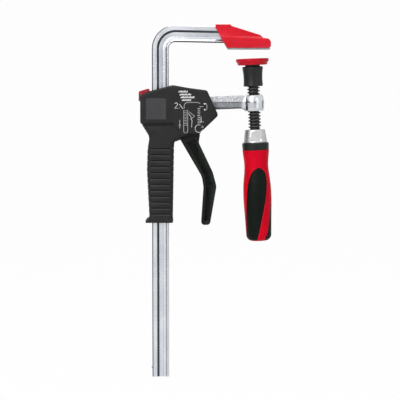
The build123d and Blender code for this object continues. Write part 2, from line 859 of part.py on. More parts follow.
def upperOutline():
    """Corners of the thick upper body, from its rear top round the nose."""
    return [
        (casingLeft, 9.8, 2.6), (-railHalf - 2.2, 13.4, 6.0), (railHalf + 4.0, 19.2, 9.0),
        (noseX - 28.5, 16.5, 30.0), (noseX - 10.8, 14.2, 3.0), (noseX, -9.6, 3.2),
        (noseX - 16.6, -25.5, 6.0), (noseX - 17.8, -27.4, 0.5), (leverPinX + 8.0, -27.3, 12.0),
        (leverPinX - 0.9, -30.8, 2.6), (railHalf + 4.6, stepZ, 2.6), (casingLeft, stepZ, 2.6),
    ]


def gripFront(z):
    """X of the grip's front edge at height z: it tapers in towards the foot."""
    return gripRight - gripTaper * (ribTopZ - z) / (ribTopZ - gripFoot)


def gripBack(z):
    """X of the grip's rear edge at height z, without its bulge's rounding."""
    bulge = 0.6 * (ribTopZ - z) / 24.5
    return gripLeft - min(bulge, 0.6 - 0.05 * (-61.8 - z))


def gripOutline():
    """Corners of the grip around the rail, from its rear top down and back up."""
    left = casingLeft + 0.2
    foot = gripFoot + 0.5
    return [
        (left, -5.8, 0), (left, stepZ + 1.6, 4.0), (-railHalf - 2.2, -30.0, 9.0),
        (gripLeft, -41.8, 40.0), (gripLeft - 0.6, -61.8, 80.0), (gripLeft + 1.5, -103.8, 60.0),
        (gripLeft + 1.6, foot, 0), (gripFront(foot), foot, 0), (gripRight, ribTopZ - 0.5, 8.0),
        (gripRight + 0.5, -34.9, 1.8), (leverPinX - 0.9, -32.8, 3.0), (leverPinX + 7.0, -15.8, 0),
        (leverPinX + 7.0, -5.8, 0),
    ]


def footOutline():
    """Corners of the thin flange round the grip's foot."""
    return [
        (gripLeft - 1.9, gripFoot, 0.8), (gripRight - 0.9, gripFoot, 0.8),
        (gripRight - 1.1, gripFoot + gripFlange, 0.6), (gripLeft + 1.5, gripFoot + gripFlange + 1.0, 0.6),
        (gripLeft - 1.9, gripFoot + gripFlange - 1.2, 0.8),
    ]


def casingScrews():
    screws = []
    for x, z, face in screwSpots:
        top = face - screwSink
        head = crossRod(x, z, screwHeadRadius, screwHeadHeight / 2)
        shank = crossRod(x, z, screwRadius, (top + screwReach - screwHeadHeight) / 2)
        screw = Pos(0, top - screwHeadHeight / 2, 0) * head
        screw += Pos(0, (top - screwHeadHeight - screwReach) / 2, 0) * shank
        screw -= Pos(x, top, z) * Box(recessLength, 2 * recessDepth, recessWidth)
        screw -= Pos(x, top, z) * Box(recessWidth, 2 * recessDepth, recessLength)
        screws.append(onRail(screw))
    return Compound(children=screws)


def gripGrooves():
    """Narrow grooves across the grip's faces and edges, which leave bars between them."""
    cutters = []
    for i in range(grooveCount):
        z = grooveTopZ - ribPitch * i
        low, high = z - grooveWidth / 2, z + grooveWidth / 2
        for side in (-1, 1):
            across = block(-panelWidth / 2, panelWidth / 2, grooveSink, low, high)
            cutters.append(Pos(0, side * gripHalf, 0) * across)
        cutters.append(block(gripBack(z) - 3, gripBack(z) + grooveSink, gripHalf + 1, low, high))
        cutters.append(block(gripFront(z) - grooveSink, gripFront(z) + 3, gripHalf + 1, low, high))
    return cutters


def railBays():
    """Hollows around the rail inside the grip, between the ribs that guide it."""
    bottom = gripFoot + bayRib
    bayPitch = (ribTopZ - bottom) / bayCount
    bays = []
    for i in range(bayCount):
        z0 = bottom + i * bayPitch
        bays.append(block(-railHalf - slideFit, railHalf + slideFit, bayHalf, z0, z0 + bayPitch - bayRib))
    return bays


def neckGroove():
    """The groove round the grip just under the thick upper body."""
    inner = casingLeft + 0.2 + neckDepth
    around = block(casingLeft - 2, railHalf + neckReach, upperHalf + 1, stepZ - neckHeight, stepZ)
    return around - block(inner, railHalf + neckReach + 1, gripHalf - neckDepth, stepZ - neckHeight, stepZ)


def rimOf(solid, half, top):
    """Edges of a slab's two faces that lie below a height."""
    return solid.edges().filter_by(lambda e: abs(abs(e.center().Y) - half) < 0.01 and e.center().Z < top)


def leverRoom():
    """The slot that the lever swings in, open at the bottom."""
    shape = [(-5.1, -22.5), (-5.1, 8.5), (17.0, 8.5), (21.5, -0.1), (27.0, -1.5), (27.0, -22.5)]
    return Pos(leverPinX, 0, leverPinZ) * slab(flat(shape), leverHalf + cheekAir)


def casingShell():
    """Both halves as one body, hollowed for the mechanism."""
    upperFace = rounded(upperOutline())
    upper = slab(upperFace, upperHalf)
    upper = fillet(rimOf(upper, upperHalf, 100), upperRound)
    grip = slab(rounded(gripOutline()), gripHalf)
    grip = fillet(rimOf(grip, gripHalf, -10), gripRound)
    shell = upper + grip + slab(rounded(footOutline()), gripHalf + flangeProud)
    shell -= slab(offset(upperFace, -casingWall, kind=Kind.INTERSECTION), upperHalf - casingWall)
    shell -= neckGroove()
    shell -= gripGrooves()
    shell -= railBays()
    shell -= railSlot(gripFoot - 5, 35)
    lowest = driveFoot - driveStroke - gap
    shell -= block(blockLeft - gap, leverPinX - 4.5, driveHalf + gap, lowest, driveTop + 4)
    well = Cylinder(driveSpringRadius + driveWire / 2 + gap, lowest - driveSpringFoot + 4)
    shell -= Pos(driveSpringX, 0, (driveSpringFoot + lowest) / 2 + 2) * well
    shell -= leverRoom()
    return shell - block(casingLeft - 5, buttonRight + 2 * buttonAir, buttonHalf + buttonAir, buttonFloor, 30)


def innerRibs():
    """Bosses, ledges and ribs that carry the pieces inside."""
    inside = upperHalf - casingWall + 0.5
    ribs = [crossRod(x, z, screwBoss, inside) for x, z, face in screwSpots[:3]]
    pinBoss = crossRod(leverPinX, leverPinZ, 2 * leverPinRadius, inside)
    ribs.append(pinBoss - block(leverPinX - 10, leverPinX + 10, leverHalf + cheekAir, -40, 0))
    ribs.append(block(brakePivotX - 1.2, brakePivotX + 1.2, inside, brakePivotZ + seatFit, 17.2))
    ribs.append(block(casingLeft + 1.0, blockLeft - gap, inside, brakeSpringFoot - 2.4, brakeSpringFoot))
    for x in (armScrewX - 5.5, armScrewX + 10.5):
        ribs.append(block(x - 1.0, x + 1.0, inside, 0.7, 14.7))
    for side in (-1, 1):
        wall = block(-5.8, 6.2, (inside - blockHalf - seatFit) / 2, blockFoot + 2.7, 1.2)
        ribs.append(Pos(0, side * (inside + blockHalf + seatFit) / 2, 0) * wall)
    return ribs


def casingHalves():
    """The shell, cut for the arm, the pin and the screws, and parted down its middle."""
    shell = casingShell() + innerRibs()
    shell -= crossRod(leverPinX, leverPinZ, leverPinRadius + screwBite, upperHalf - casingWall)
    for x, z, face in screwSpots:
        shell -= crossRod(x, z, screwRadius + screwBite, screwReach)
    shell = onRail(shell) - beam(seatFit) - partingRidge(seatFit)
    front = shell & Pos(0, -50, 0) * Box(600, 100, 800)
    back = shell & Pos(0, 50, 0) * Box(600, 100, 800)
    for x, z, face in screwSpots:
        well = Pos(0, face, 0) * crossRod(x, z, screwHeadRadius + seatFit, screwSink + screwHeadHeight)
        back -= onRail(well)
        back -= onRail(Pos(0, face, 0) * crossRod(x, z, screwRadius + screwBite, face))
    return front, back


def writeParts():
    os.makedirs("parts", exist_ok=True)
    casingFront, casingBack = casingHalves()
    handle = handleParts()
    pieces = {
        "rail": rail(),
        "stop_pin": stopPin(),
        "jaw_plate": jawPlate(),
        "jaw_cap": jawCap(),
        "casing_front": casingFront,
        "casing_back": casingBack,
        "casing_screws": casingScrews(),
        "sliding_arm": slidingArm(),
        "lever_pin": leverPin(),
        "lever": lever(),
        "pusher_pin": pusherPin(),
        "drive_plates": drivePlates(),
        "drive_spring": driveSpring(),
        "brake_plate": brakePlate(),
        "brake_spring": brakeSpring(),
        "release_button": releaseButton(),
        "pad_sleeve": padSleeve(),
        "ball_cup": ballCup(),
        "pad_plate": padPlate(),
        "pad_cap": padCap(),
        "spindle": spindle(),
        "sleeve_clip": sleeveClip(),
        "handle_ferrule": handleFerrule(),
        "handle_collar": handleCollar(),
        "tang_pin": tangPin(),
        "handle_body": handle[0],
    }
    for i, insert in enumerate(handle[1:]):
        pieces[f"handle_insert_{i + 1}"] = insert
    for name, shape in pieces.items():
        export_step(shape, f"parts/{name}.step")


if __name__ == "__main__":
    writeParts()
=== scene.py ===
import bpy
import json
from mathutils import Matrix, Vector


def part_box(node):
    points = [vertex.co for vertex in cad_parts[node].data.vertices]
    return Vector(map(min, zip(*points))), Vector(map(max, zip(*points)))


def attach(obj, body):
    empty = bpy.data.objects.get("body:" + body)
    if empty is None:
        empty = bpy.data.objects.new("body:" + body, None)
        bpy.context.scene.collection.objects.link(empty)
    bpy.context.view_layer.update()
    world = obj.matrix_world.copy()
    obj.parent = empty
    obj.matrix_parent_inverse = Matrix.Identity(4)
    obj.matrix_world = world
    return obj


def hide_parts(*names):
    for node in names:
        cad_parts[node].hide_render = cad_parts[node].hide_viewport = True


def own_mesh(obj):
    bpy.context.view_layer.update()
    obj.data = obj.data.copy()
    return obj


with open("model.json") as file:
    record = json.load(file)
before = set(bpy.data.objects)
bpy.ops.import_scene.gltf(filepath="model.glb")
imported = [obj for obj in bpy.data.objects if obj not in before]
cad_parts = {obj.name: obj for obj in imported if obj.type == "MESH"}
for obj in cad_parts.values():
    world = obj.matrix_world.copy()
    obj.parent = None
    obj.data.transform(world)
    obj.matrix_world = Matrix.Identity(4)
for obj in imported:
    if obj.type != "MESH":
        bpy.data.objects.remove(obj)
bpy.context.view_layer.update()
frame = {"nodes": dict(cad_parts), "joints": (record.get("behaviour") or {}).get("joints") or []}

import json
import math

import bmesh
import bpy
import numpy as np
from mathutils import Matrix, Vector

mm = 0.001
nodes = frame["nodes"]


# ---- colours and shader nodes

def linear(hexColour):
    # sRGB hex to linear light, by the usual straight foot and 2.4 power
    srgb = np.array([int(hexColour[i:i + 2], 16) for i in (1, 3, 5)]) / 255
    rgb = np.where(srgb <= 0.04045, srgb / 12.92, ((srgb + 0.055) / 1.055) ** 2.4)
    return (*rgb.tolist(), 1.0)


def addNode(tree, kind, values=None, links=None, stops=None, **settings):
    # one shader node: its settings, the values of its inputs, and what feeds them
    node = tree.nodes.new("ShaderNode" + kind)
    for name, value in settings.items():
        setattr(node, name, value)
    for socket, value in (values or {}).items():
        node.inputs[socket].default_value = value
    for socket, output in (links or {}).items():
        tree.links.new(output, node.inputs[socket])
    if stops:
        ramp = node.color_ramp
        while len(ramp.elements) < len(stops):
            ramp.elements.new(1.0)
        for element, (place, colour) in zip(ramp.elements, stops):
            element.position = place
            element.color = colour
    return node


def newMaterial(name, **sockets):
    # a Principled material whose uniform values sit on the shader's own sockets
    material = bpy.data.materials.new(name)
    material.use_nodes = True
    tree = material.node_tree
    tree.nodes.clear()
    shader = addNode(tree, "BsdfPrincipled", sockets)
    addNode(tree, "OutputMaterial", links={"Surface": shader.outputs[0]})
    return material, tree, shader


def grey(value):
    return (value, value, value, 1.0)


def noise(tree, place, size, detail=3.0, roughness=0.5, **settings):
    # a noise whose grains are about size millimetres across
    return addNode(
        tree, "TexNoise", {"Scale": 1 / (size * mm), "Detail": detail, "Roughness": roughness},
        {"Vector": place}, **settings,
    ).outputs[0]


def edgeMask(tree, radius, low, high):
    # one where the rounded normal leaves the face's own, so along the edges
    soft = addNode(tree, "Bevel", {"Radius": radius * mm}, samples=6).outputs[0]
    own = addNode(tree, "NewGeometry").outputs["True Normal"]
    dot = addNode(tree, "VectorMath", links={0: soft, 1: own}, operation="DOT_PRODUCT").outputs["Value"]
    return addNode(
        tree, "MapRange", {"From Min": high, "From Max": low, "To Min": 0.0, "To Max": 1.0}, {"Value": dot}
    ).outputs[0]


# ---- materials

def grooveTone(tree, place, tone, grooves):
    # Paints the shade of each groove of the grip and the light on the lip under it, which the
    # shallow groove in the mesh shows too faintly. The height below the first groove, in
    # pitches, has its whole part dropped, and a ramp over what is left says where the groove
    # (0), the bar (0.5) and the lip (1) lie.
    part = addNode(tree, "SeparateXYZ", links={"Vector": place}).outputs
    across, height = part["X"], part["Z"]
    turns = addNode(
        tree, "MapRange",
        {"From Min": grooves["top"] * mm, "From Max": (grooves["top"] - grooves["pitch"]) * mm,
         "To Min": 0.5, "To Max": 1.5},
        {"Value": height}, clamp=False,
    ).outputs[0]
    share = addNode(tree, "Math", links={0: turns}, operation="FRACT").outputs[0]
    bar, groove, lip = grey(0.5), grey(0.0), grey(1.0)
    band = addNode(tree, "ValToRGB", links={"Fac": share}, stops=[
        (0.37, bar), (0.42, groove), (0.57, groove), (0.62, lip), (0.72, lip), (0.8, bar),
    ]).outputs[0]
    aside = addNode(tree, "Math", {1: grooves["middle"] * mm}, {0: across}, operation="SUBTRACT").outputs[0]
    aside = addNode(tree, "Math", links={0: aside}, operation="ABSOLUTE").outputs[0]
    inside = addNode(tree, "Math", {1: grooves["half"] * mm}, {0: aside}, operation="LESS_THAN").outputs[0]
    below = addNode(tree, "Math", {1: 0.0}, {0: turns}, operation="GREATER_THAN").outputs[0]
    above = addNode(tree, "Math", {1: grooves["count"]}, {0: turns}, operation="LESS_THAN").outputs[0]
    inside = addNode(tree, "Math", links={0: inside, 1: below}, operation="MULTIPLY").outputs[0]
    inside = addNode(tree, "Math", links={0: inside, 1: above}, operation="MULTIPLY").outputs[0]
    for edge, colour in ((0.0, grooves["dark"]), (1.0, grooves["light"])):
        share = addNode(
            tree, "MapRange", {"From Min": 0.5, "From Max": edge, "To Min": 0.0, "To Max": 1.0},
            {"Value": band},
        ).outputs[0]
        share = addNode(tree, "Math", links={0: share, 1: inside}, operation="MULTIPLY").outputs[0]
        tone = addNode(tree, "Mix", {7: linear(colour)}, {0: share, 6: tone}, data_type="RGBA").outputs[2]
    return tone


def mouldedPlastic(name, look):
    # Glass-filled nylon or ABS from a spark-eroded mould: an even colour, a fine matt grain
    # that breaks up the gloss, and edges that handling has polished a little lighter.
    material, tree, shader = newMaterial(name, **{"Specular IOR Level": look["specular"]})
    place = addNode(tree, "TexCoord").outputs["Object"]
    cloud = noise(tree, place, look["cloud"], 2.0)
    tone = addNode(tree, "ValToRGB", links={"Fac": cloud}, stops=[
        (0.3, linear(look["shade"])), (0.7, linear(look["colour"])),
    ]).outputs[0]
    edge = edgeMask(tree, look["edge"], 0.72, 0.97)
    worn = addNode(tree, "Mix", {7: linear(look["worn"])}, {0: edge, 6: tone}, data_type="RGBA").outputs[2]
    if "grooves" in look:
        worn = grooveTone(tree, place, worn, look["grooves"])
    tree.links.new(worn, shader.inputs["Base Color"])
    grain = noise(tree, place, look["grain"], 3.0, 0.6)
    gloss = addNode(
        tree, "MapRange",
        {"To Min": look["roughness"] - look["spread"], "To Max": look["roughness"] + look["spread"]},
        {"Value": grain},
    ).outputs[0]
    tree.links.new(gloss, shader.inputs["Roughness"])
    soft = addNode(tree, "Bevel", {"Radius": look["edge"] * mm}, samples=6).outputs[0]
    bump = addNode(
        tree, "Bump", {"Strength": look["bump"], "Distance": look["depth"] * mm},
        {"Height": grain, "Normal": soft},
    ).outputs[0]
    tree.links.new(bump, shader.inputs["Normal"])
    return material


# The shell's grain is really about 0.15 mm; it is drawn at 0.5 mm so that it shows.
casingLook = {
    "colour": "#242425", "shade": "#1f1f20", "worn": "#363637", "cloud": 14.0, "grain": 0.5,
    "specular": 0.2, "roughness": 0.5, "spread": 0.1, "edge": 0.5, "bump": 0.5, "depth": 0.05,
    "grooves": {
        "top": -94.24, "pitch": 5.66, "count": 12, "middle": -87.2, "half": 9.6,
        "dark": "#060607", "light": "#37373a",
    },
}
leverLook = {
    "colour": "#171b18", "shade": "#121512", "worn": "#2e332f", "cloud": 12.0, "grain": 0.5,
    "specular": 0.13, "roughness": 0.42, "spread": 0.08, "edge": 0.6, "bump": 0.4, "depth": 0.04,
}
panelLook = {
    "colour": "#424244", "shade": "#3d3d3f", "worn": "#4c4c4e", "cloud": 9.0, "grain": 0.35,
    "specular": 0.2, "roughness": 0.55, "spread": 0.08, "edge": 0.15, "bump": 0.4, "depth": 0.03,
}
jawLook = {
    "colour": "#da1a2e", "shade": "#d01226", "worn": "#ea4a58", "cloud": 18.0, "grain": 0.7,
    "specular": 0.18, "roughness": 0.38, "spread": 0.08, "edge": 0.7, "bump": 0.35, "depth": 0.05,
}
padLook = {
    "colour": "#c81226", "shade": "#ba0c1e", "worn": "#dc3a48", "cloud": 10.0, "grain": 0.6,
    "specular": 0.18, "roughness": 0.34, "spread": 0.06, "edge": 0.4, "bump": 0.3, "depth": 0.04,
}
buttonLook = {
    "colour": "#b52a35", "shade": "#a8242f", "worn": "#c44a54", "cloud": 8.0, "grain": 0.5,
    "specular": 0.2, "roughness": 0.5, "spread": 0.08, "edge": 0.5, "bump": 0.35, "depth": 0.04,
}
collarLook = {
    "colour": "#1c201b", "shade": "#161916", "worn": "#303530", "cloud": 9.0, "grain": 0.4,
    "specular": 0.25, "roughness": 0.3, "spread": 0.05, "edge": 0.4, "bump": 0.2, "depth": 0.03,
}
sleeveLook = {
    "colour": "#1e1e1f", "shade": "#19191a", "worn": "#333334", "cloud": 9.0, "grain": 0.5,
    "specular": 0.3, "roughness": 0.36, "spread": 0.06, "edge": 0.4, "bump": 0.25, "depth": 0.03,
}
handleLook = {
    "colour": "#db0024", "shade": "#d2001f", "worn": "#e02840", "cloud": 20.0, "grain": 0.9,
    "specular": 0.08, "roughness": 0.42, "spread": 0.05, "edge": 0.3, "bump": 0.15, "depth": 0.04,
}
cupLook = {
    "colour": "#d9d6cc", "shade": "#cfccc2", "worn": "#e4e1d8", "cloud": 6.0, "grain": 0.4,
    "specular": 0.4, "roughness": 0.4, "spread": 0.05, "edge": 0.2, "bump": 0.2, "depth": 0.02,
}


def softElastomer(name, look):
    # Thermoplastic elastomer moulded over the handle: deep black, matt and slightly
    # velvety, with a fine stipple and a faint greenish cast in the highlights.
    material, tree, shader = newMaterial(
        name, **{"Sheen Weight": 0.01, "Sheen Roughness": 0.5, "Sheen Tint": linear(look["sheen"]),
                 "Specular IOR Level": 0.1}
    )
    place = addNode(tree, "TexCoord").outputs["Object"]
    cells = addNode(
        tree, "TexVoronoi", {"Scale": 1 / (look["stipple"] * mm)}, {"Vector": place}, feature="SMOOTH_F1"
    ).outputs["Distance"]
    cloud = noise(tree, place, look["cloud"], 2.0)
    tone = addNode(tree, "ValToRGB", links={"Fac": cloud}, stops=[
        (0.3, linear(look["shade"])), (0.7, linear(look["colour"])),
    ]).outputs[0]
    tree.links.new(tone, shader.inputs["Base Color"])
    gloss = addNode(
        tree, "MapRange", {"To Min": look["roughness"] - 0.06, "To Max": look["roughness"] + 0.06},
        {"Value": cloud},
    ).outputs[0]
    tree.links.new(gloss, shader.inputs["Roughness"])
    soft = addNode(tree, "Bevel", {"Radius": 0.3 * mm}, samples=6).outputs[0]
    bump = addNode(
        tree, "Bump", {"Strength": 0.35, "Distance": look["depth"] * mm}, {"Height": cells, "Normal": soft}
    ).outputs[0]
    tree.links.new(bump, shader.inputs["Normal"])
    return material


# The stipple is really about 0.3 mm; it is drawn at 0.6 mm so that it shows.
insertLook = {
    "colour": "#0e150e", "shade": "#0a0f0a", "sheen": "#a8b4ac", "cloud": 11.0, "stipple": 0.6,
    "roughness": 0.46, "depth": 0.06,
}


def drawnSteel(name, look):
    # Cold-drawn profile steel, zinc plated: bright and bluish, with long draw lines that
    # follow the bar, dull patches from storage, and painted dark reflections on the groove slopes, the drawn
    # step and the edges.
    material, tree, shader = newMaterial(name, Metallic=1.0)
    uv = addNode(tree, "UVMap", uv_map="barLength").outputs[0]
    lines = addNode(
        tree, "Mapping", {"Scale": (1 / (look["lineWidth"] * mm), 1 / (look["lineLength"] * mm), 1.0)},
        {"Vector": uv},
    ).outputs[0]
    draw = addNode(tree, "TexNoise", {"Scale": 1.0, "Detail": 2.0}, {"Vector": lines}).outputs[0]
    place = addNode(tree, "TexCoord").outputs["Object"]
    patch = noise(tree, place, look["patch"], 4.0, 0.6)
    tone = addNode(tree, "ValToRGB", links={"Fac": patch}, stops=[
        (0.35, linear(look["dull"])), (0.65, linear(look["colour"])),
    ]).outputs[0]
    # how dark the painted reflection is, point by point along the bar's profile
    darkReflection = addNode(tree, "Attribute", attribute_name="darkReflection").outputs["Fac"]
    streak = addNode(
        tree, "MapRange", {"From Min": 0.3, "From Max": 0.7, "To Min": 0.0, "To Max": look["streaks"]},
        {"Value": draw},
    ).outputs[0]
    # the painted dark reflection and the draw lines' darker streaks together
    dark = addNode(tree, "Math", links={0: darkReflection, 1: streak}, operation="ADD", use_clamp=True).outputs[0]
    colour = addNode(tree, "Mix", {7: linear(look["darkReflection"])}, {0: dark, 6: tone}, data_type="RGBA").outputs[2]
    tree.links.new(colour, shader.inputs["Base Color"])
    gloss = addNode(
        tree, "MapRange", {"To Min": look["roughness"] - 0.08, "To Max": look["roughness"] + 0.1},
        {"Value": patch},
    ).outputs[0]
    tree.links.new(gloss, shader.inputs["Roughness"])
    soft = addNode(tree, "Bevel", {"Radius": 0.35 * mm}, samples=6).outputs[0]
    bump = addNode(
        tree, "Bump", {"Strength": 0.15, "Distance": 0.02 * mm}, {"Height": draw, "Normal": soft}
    ).outputs[0]
    tree.links.new(bump, shader.inputs["Normal"])
    return material


# Draw lines are really under 0.1 mm wide; they are drawn at 0.7 mm so that they show.
# The darkest colour here is that of the painted dark reflections.
railLook = {
    "colour": "#eceff5", "dull": "#dde0e8", "darkReflection": "#383b42", "patch": 26.0, "streaks": 0.1,
    "lineWidth": 0.7, "lineLength": 60.0, "roughness": 0.26,
}


def forgedSteel(name, look):
    # Drop-forged steel with a thick zinc coat: a mottled, slightly lumpy skin on the beam, painted shade
    # on its lower half and along its foot, a painted shadow line under the dies' parting ridge, and a bright
    # turned boss around the screw.
    material, tree, shader = newMaterial(name, Metallic=1.0)
    place = addNode(tree, "TexCoord").outputs["Object"]
    across = addNode(tree, "SeparateXYZ", links={"Vector": place}).outputs["X"]
    turnedPart = addNode(
        tree, "MapRange", {"From Min": look["skinEnds"] - 2 * mm, "From Max": look["skinEnds"]},
        {"Value": across},
    ).outputs[0]
    spots = noise(tree, place, look["spot"], 5.0, 0.7)
    lumps = noise(tree, place, look["lump"], 3.0, 0.6)
    skin = addNode(tree, "ValToRGB", links={"Fac": spots}, stops=[
        (0.3, linear(look["pit"])), (0.48, linear(look["dull"])), (0.66, linear(look["colour"])),
    ]).outputs[0]
    up = addNode(tree, "SeparateXYZ", links={"Vector": place}).outputs["Z"]
    # Painted shade: below the parting plane the colour is multiplied darker, as on the lower face turned from
    # the light.
    below = addNode(
        tree, "MapRange", {"From Min": look["parting"] + 0.3 * mm, "From Max": look["parting"] - 0.5 * mm},
        {"Value": up},
    ).outputs[0]
    skin = addNode(
        tree, "Mix", {7: linear(look["under"])}, {0: below, 6: skin}, data_type="RGBA", blend_type="MULTIPLY"
    ).outputs[2]
    # Painted shadow: a dark line along the parting plane, the shade under the dies' flash ridge.
    offLine = addNode(tree, "Math", {1: look["parting"]}, {0: up}, operation="SUBTRACT").outputs[0]
    offLine = addNode(tree, "Math", links={0: offLine}, operation="ABSOLUTE").outputs[0]
    onLine = addNode(
        tree, "MapRange", {"From Min": 0.7 * mm, "From Max": 0.2 * mm, "To Max": 0.85}, {"Value": offLine}
    ).outputs[0]
    # Painted shade: darker along the beam's foot, the lower edge turned from the light.
    foot = addNode(
        tree, "MapRange", {"From Min": look["foot"] + 0.9 * mm, "From Max": look["foot"], "To Max": 0.8},
        {"Value": up},
    ).outputs[0]
    paintedShade = addNode(tree, "Math", links={0: onLine, 1: foot}, operation="MAXIMUM").outputs[0]
    skin = addNode(tree, "Mix", {7: linear(look["paintedShade"])}, {0: paintedShade, 6: skin}, data_type="RGBA").outputs[2]
    colour = addNode(
        tree, "Mix", {7: linear(look["bright"])}, {0: turnedPart, 6: skin}, data_type="RGBA"
    ).outputs[2]
    tree.links.new(colour, shader.inputs["Base Color"])
    skinGloss = addNode(tree, "MapRange", {"To Min": 0.62, "To Max": 0.3}, {"Value": spots}).outputs[0]
    gloss = addNode(
        tree, "Mix", {3: look["polish"]}, {0: turnedPart, 2: skinGloss}, data_type="FLOAT"
    ).outputs[0]
    tree.links.new(gloss, shader.inputs["Roughness"])
    rough = addNode(tree, "Math", {0: 1.0}, {1: turnedPart}, operation="SUBTRACT").outputs[0]
    height = addNode(tree, "Math", links={0: lumps, 1: rough}, operation="MULTIPLY").outputs[0]
    soft = addNode(tree, "Bevel", {"Radius": 0.6 * mm}, samples=6).outputs[0]
    bump = addNode(
        tree, "Bump", {"Strength": 0.6, "Distance": 0.25 * mm}, {"Height": height, "Normal": soft}
    ).outputs[0]
    tree.links.new(bump, shader.inputs["Normal"])
    return material


# Painted shade darkens the beam's lower half, and a darker painted shade lies along the parting line and the
# foot.
armLook = {
    "colour": "#d3d5d8", "dull": "#abadb0", "pit": "#74767a", "bright": "#d3d6db", "spot": 1.6,
    "lump": 3.0, "skinEnds": -8.6 * mm, "polish": 0.16, "parting": -50.3 * mm,
    "foot": -55.4 * mm, "under": "#d8d9dc", "paintedShade": "#4c4e52",
}


def blackOxide(name, look):
    # Rolled steel thread, blackened in a hot salt bath and oiled: near black, with a low
    # metallic shine and bare steel showing faintly on the crests.
    material, tree, shader = newMaterial(name, Metallic=0.6, Roughness=0.36)
    place = addNode(tree, "TexCoord").outputs["Object"]
    spots = noise(tree, place, look["spot"], 3.0, 0.6)
    tone = addNode(tree, "ValToRGB", links={"Fac": spots}, stops=[
        (0.35, linear(look["shade"])), (0.7, linear(look["colour"])),
    ]).outputs[0]
    crest = addNode(tree, "Attribute", attribute_name="crest").outputs["Fac"]
    colour = addNode(tree, "Mix", {7: linear(look["crest"])}, {0: crest, 6: tone}, data_type="RGBA").outputs[2]
    tree.links.new(colour, shader.inputs["Base Color"])
    bump = addNode(tree, "Bump", {"Strength": 0.25, "Distance": 0.04 * mm}, {"Height": spots}).outputs[0]
    tree.links.new(bump, shader.inputs["Normal"])
    return material


screwLook = {"colour": "#242424", "shade": "#161616", "crest": "#4a4a4c", "spot": 0.9}


def turnedMetal(name, look):
    # Turned and nickel-plated steel, or ground plate: satin, with fine tool rings or
    # grinding lines and a little tarnish.
    material, tree, shader = newMaterial(name, Metallic=1.0)
    place = addNode(tree, "TexCoord").outputs["Object"]
    rings = addNode(
        tree, "Mapping", {"Scale": [1 / (v * mm) for v in look["lines"]]}, {"Vector": place}
    ).outputs[0]
    tool = addNode(tree, "TexNoise", {"Scale": 1.0, "Detail": 2.0}, {"Vector": rings}).outputs[0]
    cloud = noise(tree, place, look["cloud"], 3.0)
    tone = addNode(tree, "ValToRGB", links={"Fac": cloud}, stops=[
        (0.3, linear(look["shade"])), (0.7, linear(look["colour"])),
    ]).outputs[0]
    tree.links.new(tone, shader.inputs["Base Color"])
    gloss = addNode(
        tree, "MapRange", {"To Min": look["roughness"] - 0.07, "To Max": look["roughness"] + 0.07},
        {"Value": tool},
    ).outputs[0]
    tree.links.new(gloss, shader.inputs["Roughness"])
    soft = addNode(tree, "Bevel", {"Radius": 0.3 * mm}, samples=6).outputs[0]
    bump = addNode(
        tree, "Bump", {"Strength": 0.2, "Distance": 0.02 * mm}, {"Height": tool, "Normal": soft}
    ).outputs[0]
    tree.links.new(bump, shader.inputs["Normal"])
    return material


# Tool rings are really about 0.1 mm apart; they are drawn at 0.5 mm so that they show.
ferruleLook = {
    "colour": "#d4d5d4", "shade": "#c0c2c1", "lines": (9.0, 9.0, 0.5), "cloud": 8.0, "roughness": 0.42,
}
plateLook = {
    "colour": "#a9acb0", "shade": "#8e9196", "lines": (0.5, 12.0, 12.0), "cloud": 7.0, "roughness": 0.34,
}
springLook = {
    "colour": "#b4b6b8", "shade": "#97999c", "lines": (4.0, 4.0, 0.4), "cloud": 3.0, "roughness": 0.28,
}
pinLook = {
    "colour": "#c3c5c8", "shade": "#a7a9ad", "lines": (5.0, 0.5, 5.0), "cloud": 4.0, "roughness": 0.25,
}
fastenerLook = {
    "colour": "#37383a", "shade": "#28292b", "lines": (2.0, 0.4, 2.0), "cloud": 3.0, "roughness": 0.38,
}


def padPrintInk(name):
    # White two-part pad-print ink: thin, slightly uneven and a touch translucent.
    material, tree, shader = newMaterial(name, Roughness=0.5)
    place = addNode(tree, "TexCoord").outputs["Object"]
    patchy = noise(tree, place, 0.8, 3.0, 0.7)
    tone = addNode(tree, "ValToRGB", links={"Fac": patchy}, stops=[
        (0.3, linear("#dfe0e4")), (0.6, linear("#fbfbfd")),
    ]).outputs[0]
    ink = addNode(tree, "Attribute", attribute_name="ink").outputs["Fac"]
    colour = addNode(tree, "Mix", {6: linear("#4a4b4f")}, {0: ink, 7: tone}, data_type="RGBA").outputs[2]
    tree.links.new(colour, shader.inputs["Base Color"])
    return material


materials = {
    "casing": mouldedPlastic("glassFilledNylonMoulded", casingLook),
    "lever": mouldedPlastic("glassFilledNylonLever", leverLook),
    "panel": mouldedPlastic("glassFilledNylonPanel", panelLook),
    "jaw": mouldedPlastic("polyamideJawRed", jawLook),
    "pad": mouldedPlastic("polyamidePadRed", padLook),
    "button": mouldedPlastic("acetalButtonRed", buttonLook),
    "collar": mouldedPlastic("polypropyleneCollarBlack", collarLook),
    "sleeve": mouldedPlastic("polyamideSleeveBlack", sleeveLook),
    "handle": mouldedPlastic("polypropyleneHandleRed", handleLook),
    "cup": mouldedPlastic("acetalCupNatural", cupLook),
    "insert": softElastomer("elastomerInsertBlack", insertLook),
    "rail": drawnSteel("drawnSteelZincPlated", railLook),
    "arm": forgedSteel("forgedSteelZincPlated", armLook),
    "screw": blackOxide("rolledSteelBlackOxide", screwLook),
    "ferrule": turnedMetal("turnedSteelNickelPlated", ferruleLook),
    "plate": turnedMetal("groundSteelPlate", plateLook),
    "spring": turnedMetal("drawnSpringWire", springLook),
    "pin": turnedMetal("groundSteelPin", pinLook),
    "fastener": turnedMetal("blackenedScrewSteel", fastenerLook),
    "ink": padPrintInk("padPrintInkWhite"),
}
print("materials ready:", len(materials))


# ---- surfaces

